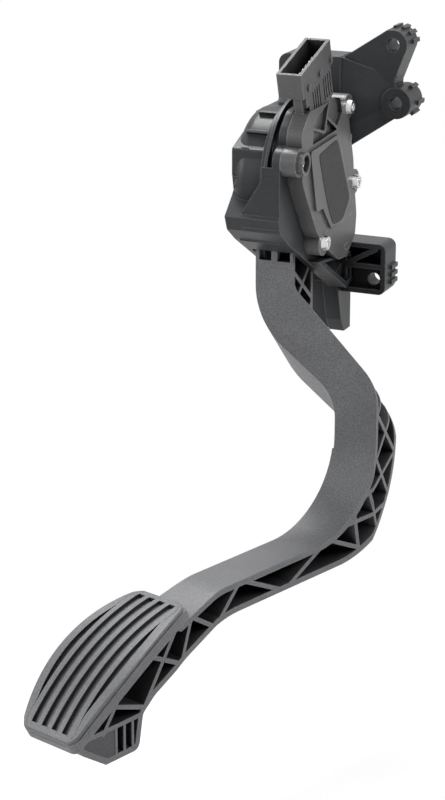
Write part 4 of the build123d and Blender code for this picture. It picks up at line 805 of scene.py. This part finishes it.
class PEDAL_OT_cover_details(bpy.types.Operator):
    """Lay the matt field, the moulded bead and the ejector marks on the sensor cover"""

    bl_idname = "pedal.cover_details"
    bl_label = "Cover details"

    def execute(self, context):
        looks = context.scene.pedal_moulding
        sizes = context.scene.pedal_detail
        matt = grained_plastic(
            "field_plastic", looks.field_colour, looks.grain * 1.1, edge=0.0002, roughness=0.62, speckle=0.55,
            depth=0.00006, gloss=0.25,
        )
        field = field_plate(FIELD_CORNERS, FIELD_X, sizes.field_thickness, sizes.field_corner)
        surface_piece("cover_field", [field], matt, "housing")
        satin = frame["nodes"]["sensor_cover"].data.materials[0]
        bead = closed_bead(COVER_X, *BEAD_PLACE, *BEAD_HALVES, sizes.bead_radius)
        radius = sizes.ejector_radius * COVER_MARK_SHARE
        marks = [pin_mark(COVER_X, y, z, radius, 1.0) for y, z in COVER_MARKS]
        surface_piece("cover_marks", [bead] + marks, satin, "housing")
        return {"FINISHED"}


class PEDAL_OT_pad_details(bpy.types.Operator):
    """Lay the ribbed plate on the pad and close the front of the foot's side with a panel"""

    bl_idname = "pedal.pad_details"
    bl_label = "Pad details"

    def execute(self, context):
        sizes = context.scene.pedal_detail
        looks = context.scene.pedal_moulding
        skin = {"grain": looks.grain, "roughness": 0.48, "speckle": 0.4, "painted_edge_highlight": 1.7}
        # The foot's wall under the pad gets a painted shadow: its colour is darker than the arm's
        painted_shadow_colour = [FOOT_SHADE * share for share in looks.arm_colour]
        painted_shadow_plastic = grained_plastic("foot_painted_shadow", painted_shadow_colour, edge=looks.edge_radius, **skin)
        # The pad's plate gets painted shade in its grooves and a painted highlight on its edges
        ribbed = grained_plastic(
            "pad_plastic", looks.arm_colour, edge=looks.edge_radius * PAD_EDGE_SHARE, **skin, painted_recess_shade=0.03,
            shade_reach=0.006, shade_range=(0.5, 0.95),
        )
        plate = pad_plate(MM * sizes.plate_thickness, MM * sizes.groove_depth, MM * sizes.groove_width)
        surface_piece("pad_plate", [plate], ribbed, "pedal")
        side = (ARM_ORIGIN, (SIDEWAYS, ALONG, UP))
        power = sizes.field_corner * PANEL_SHARPER
        panel = field_plate(PANEL_CORNERS, PANEL_FACE, sizes.panel_thickness, power, *side)
        surface_piece("foot_panel", [panel], painted_shadow_plastic, "pedal")
        return {"FINISHED"}


class PEDAL_OT_housing_details(bpy.types.Operator):
    """Put the ejector marks on the housing's left face"""

    bl_idname = "pedal.housing_details"
    bl_label = "Housing details"

    def execute(self, context):
        sizes = context.scene.pedal_detail
        satin = frame["nodes"]["housing"].data.materials[0]
        marks = [pin_mark(HOUSING_X, y, z, sizes.ejector_radius, -1.0) for y, z in HOUSING_MARKS]
        surface_piece("housing_marks", marks, satin, "housing")
        return {"FINISHED"}


def lay_floor(scene, looks):
    """Floor that glows more with its distance from the pedal's foot, so the shadow stays and the rest is white."""
    mesh = bpy.data.meshes.new("floor")
    square = np.array([[-1.0, -1.0, 0.0], [1.0, -1.0, 0.0], [1.0, 1.0, 0.0], [-1.0, 1.0, 0.0]])
    mesh.from_pydata((FLOOR_REACH * square + [0.0, 0.0, FLOOR_Z]).tolist(), [], [(0, 1, 2, 3)])
    floor = bpy.data.objects.new("floor", mesh)
    scene.collection.objects.link(floor)
    material, make = node_maker("studio_floor")
    where = make("ShaderNodeTexCoord").outputs["Object"]
    level = spread(make, noise(make, where, 3.0, 2.0), *NOISE_RANGE, 0.99, 1.0)
    matt = make("ShaderNodeBsdfDiffuse", inputs={"Color": scaled(make, looks.floor_colour, level)})
    glow = make("ShaderNodeEmission", inputs={"Color": WHITE, "Strength": 1.0})
    away = make("ShaderNodeVectorMath", operation="DISTANCE", inputs={0: where, 1: FOOT})
    glowing = spread(make, away.outputs["Value"], *SHADOW_REACH, SHADOW_GLOW, 1.0)
    share = make("ShaderNodeMath", operation="MULTIPLY", inputs={0: seen_directly(make), 1: glowing})
    both = make("ShaderNodeMixShader", inputs={0: share.outputs[0], 1: matt.outputs[0], 2: glow.outputs[0]})
    floor.data.materials.append(finish_material(material, make, both.outputs[0]))


def light_surroundings(scene, looks):
    """White surroundings, of which only a share lights the pedal."""
    world = bpy.data.worlds.new("studio")
    scene.world = world
    world.use_nodes = True
    make = tree_filler(world.node_tree)
    level = spread(make, seen_directly(make), 0.0, 1.0, looks.sky_share, 1.0)
    sky = make("ShaderNodeBackground", inputs={"Color": WHITE, "Strength": level})
    make("ShaderNodeOutputWorld", inputs={"Surface": sky.outputs[0]})


def look_rotation(aim):
    """Euler angles that turn a lamp's -Z to the aim: tilt from straight down, then turn about Z."""
    x, y, z = aim / np.linalg.norm(aim)
    return (math.acos(-z), 0.0, math.atan2(y, x) - math.pi / 2)


def hang_lamps(scene, looks):
    """Round soft lamps that aim at the pedal."""
    powers = {"key": looks.key_power, "fill": looks.fill_power, "rim": looks.rim_power}
    for name, (spot, width) in LAMPS.items():
        lamp = bpy.data.lights.new(name, "AREA")
        lamp.shape = "DISK"
        lamp.size = width
        lamp.energy = powers[name]
        hung = bpy.data.objects.new(name, lamp)
        scene.collection.objects.link(hung)
        hung.location = spot
        hung.rotation_euler = look_rotation(np.array(LAMP_AIM) - np.array(spot))


def set_camera(scene, looks):
    """Camera at the front right, a little above the pedal."""
    camera = bpy.data.cameras.new("camera")
    camera.lens = looks.lens
    camera.sensor_width = SENSOR_WIDTH
    camera.clip_end = CAMERA_REACH
    stand = bpy.data.objects.new("camera", camera)
    scene.collection.objects.link(stand)
    stand.location = CAMERA_PLACE
    stand.rotation_euler = (math.radians(90.0 - CAMERA_PITCH), 0.0, math.radians(CAMERA_TURN))
    scene.camera = stand


class PEDAL_OT_stage(bpy.types.Operator):
    """Lay the white floor, hang the soft lamps and set the camera"""

    bl_idname = "pedal.stage"
    bl_label = "Studio"

    def execute(self, context):
        scene = context.scene
        scene.view_settings.view_transform = "Standard"
        for step in (lay_floor, light_surroundings, hang_lamps, set_camera):
            step(scene, scene.pedal_stage)
        return {"FINISHED"}


class PEDAL_PT_panel(bpy.types.Panel):
    """The pedal's operators and settings in the sidebar"""

    bl_label = "Pedal"
    bl_idname = "PEDAL_PT_panel"
    bl_space_type = "VIEW_3D"
    bl_region_type = "UI"
    bl_category = "Pedal"

    def draw(self, context):
        layout = self.layout
        for group in (context.scene.pedal_moulding, context.scene.pedal_detail, context.scene.pedal_stage):
            for key in group.__annotations__:
                layout.prop(group, key)
        for operator in OPERATORS:
            layout.operator(operator.bl_idname)


OPERATORS = (
    PEDAL_OT_mouldings,
    PEDAL_OT_metal_pieces,
    PEDAL_OT_springs,
    PEDAL_OT_inner_pieces,
    PEDAL_OT_cover_details,
    PEDAL_OT_pad_details,
    PEDAL_OT_housing_details,
    PEDAL_OT_stage,
)
CLASSES = (MouldingLooks, DetailLooks, StageLooks) + OPERATORS + (PEDAL_PT_panel,)


def register():
    """Adds the classes and the scene's settings."""
    for cls in CLASSES:
        bpy.utils.register_class(cls)
    bpy.types.Scene.pedal_moulding = bpy.props.PointerProperty(type=MouldingLooks)
    bpy.types.Scene.pedal_detail = bpy.props.PointerProperty(type=DetailLooks)
    bpy.types.Scene.pedal_stage = bpy.props.PointerProperty(type=StageLooks)


def unregister():
    """Takes the settings and the classes away again."""
    del bpy.types.Scene.pedal_stage
    del bpy.types.Scene.pedal_detail
    del bpy.types.Scene.pedal_moulding
    for cls in reversed(CLASSES):
        bpy.utils.unregister_class(cls)


def main():
    """Builds every piece and the studio."""
    register()
    bpy.ops.pedal.mouldings()
    bpy.ops.pedal.metal_pieces()
    bpy.ops.pedal.springs()
    bpy.ops.pedal.inner_pieces()
    bpy.ops.pedal.cover_details()
    bpy.ops.pedal.pad_details()
    bpy.ops.pedal.housing_details()
    bpy.ops.pedal.stage()


if __name__ == "__main__":
    main()
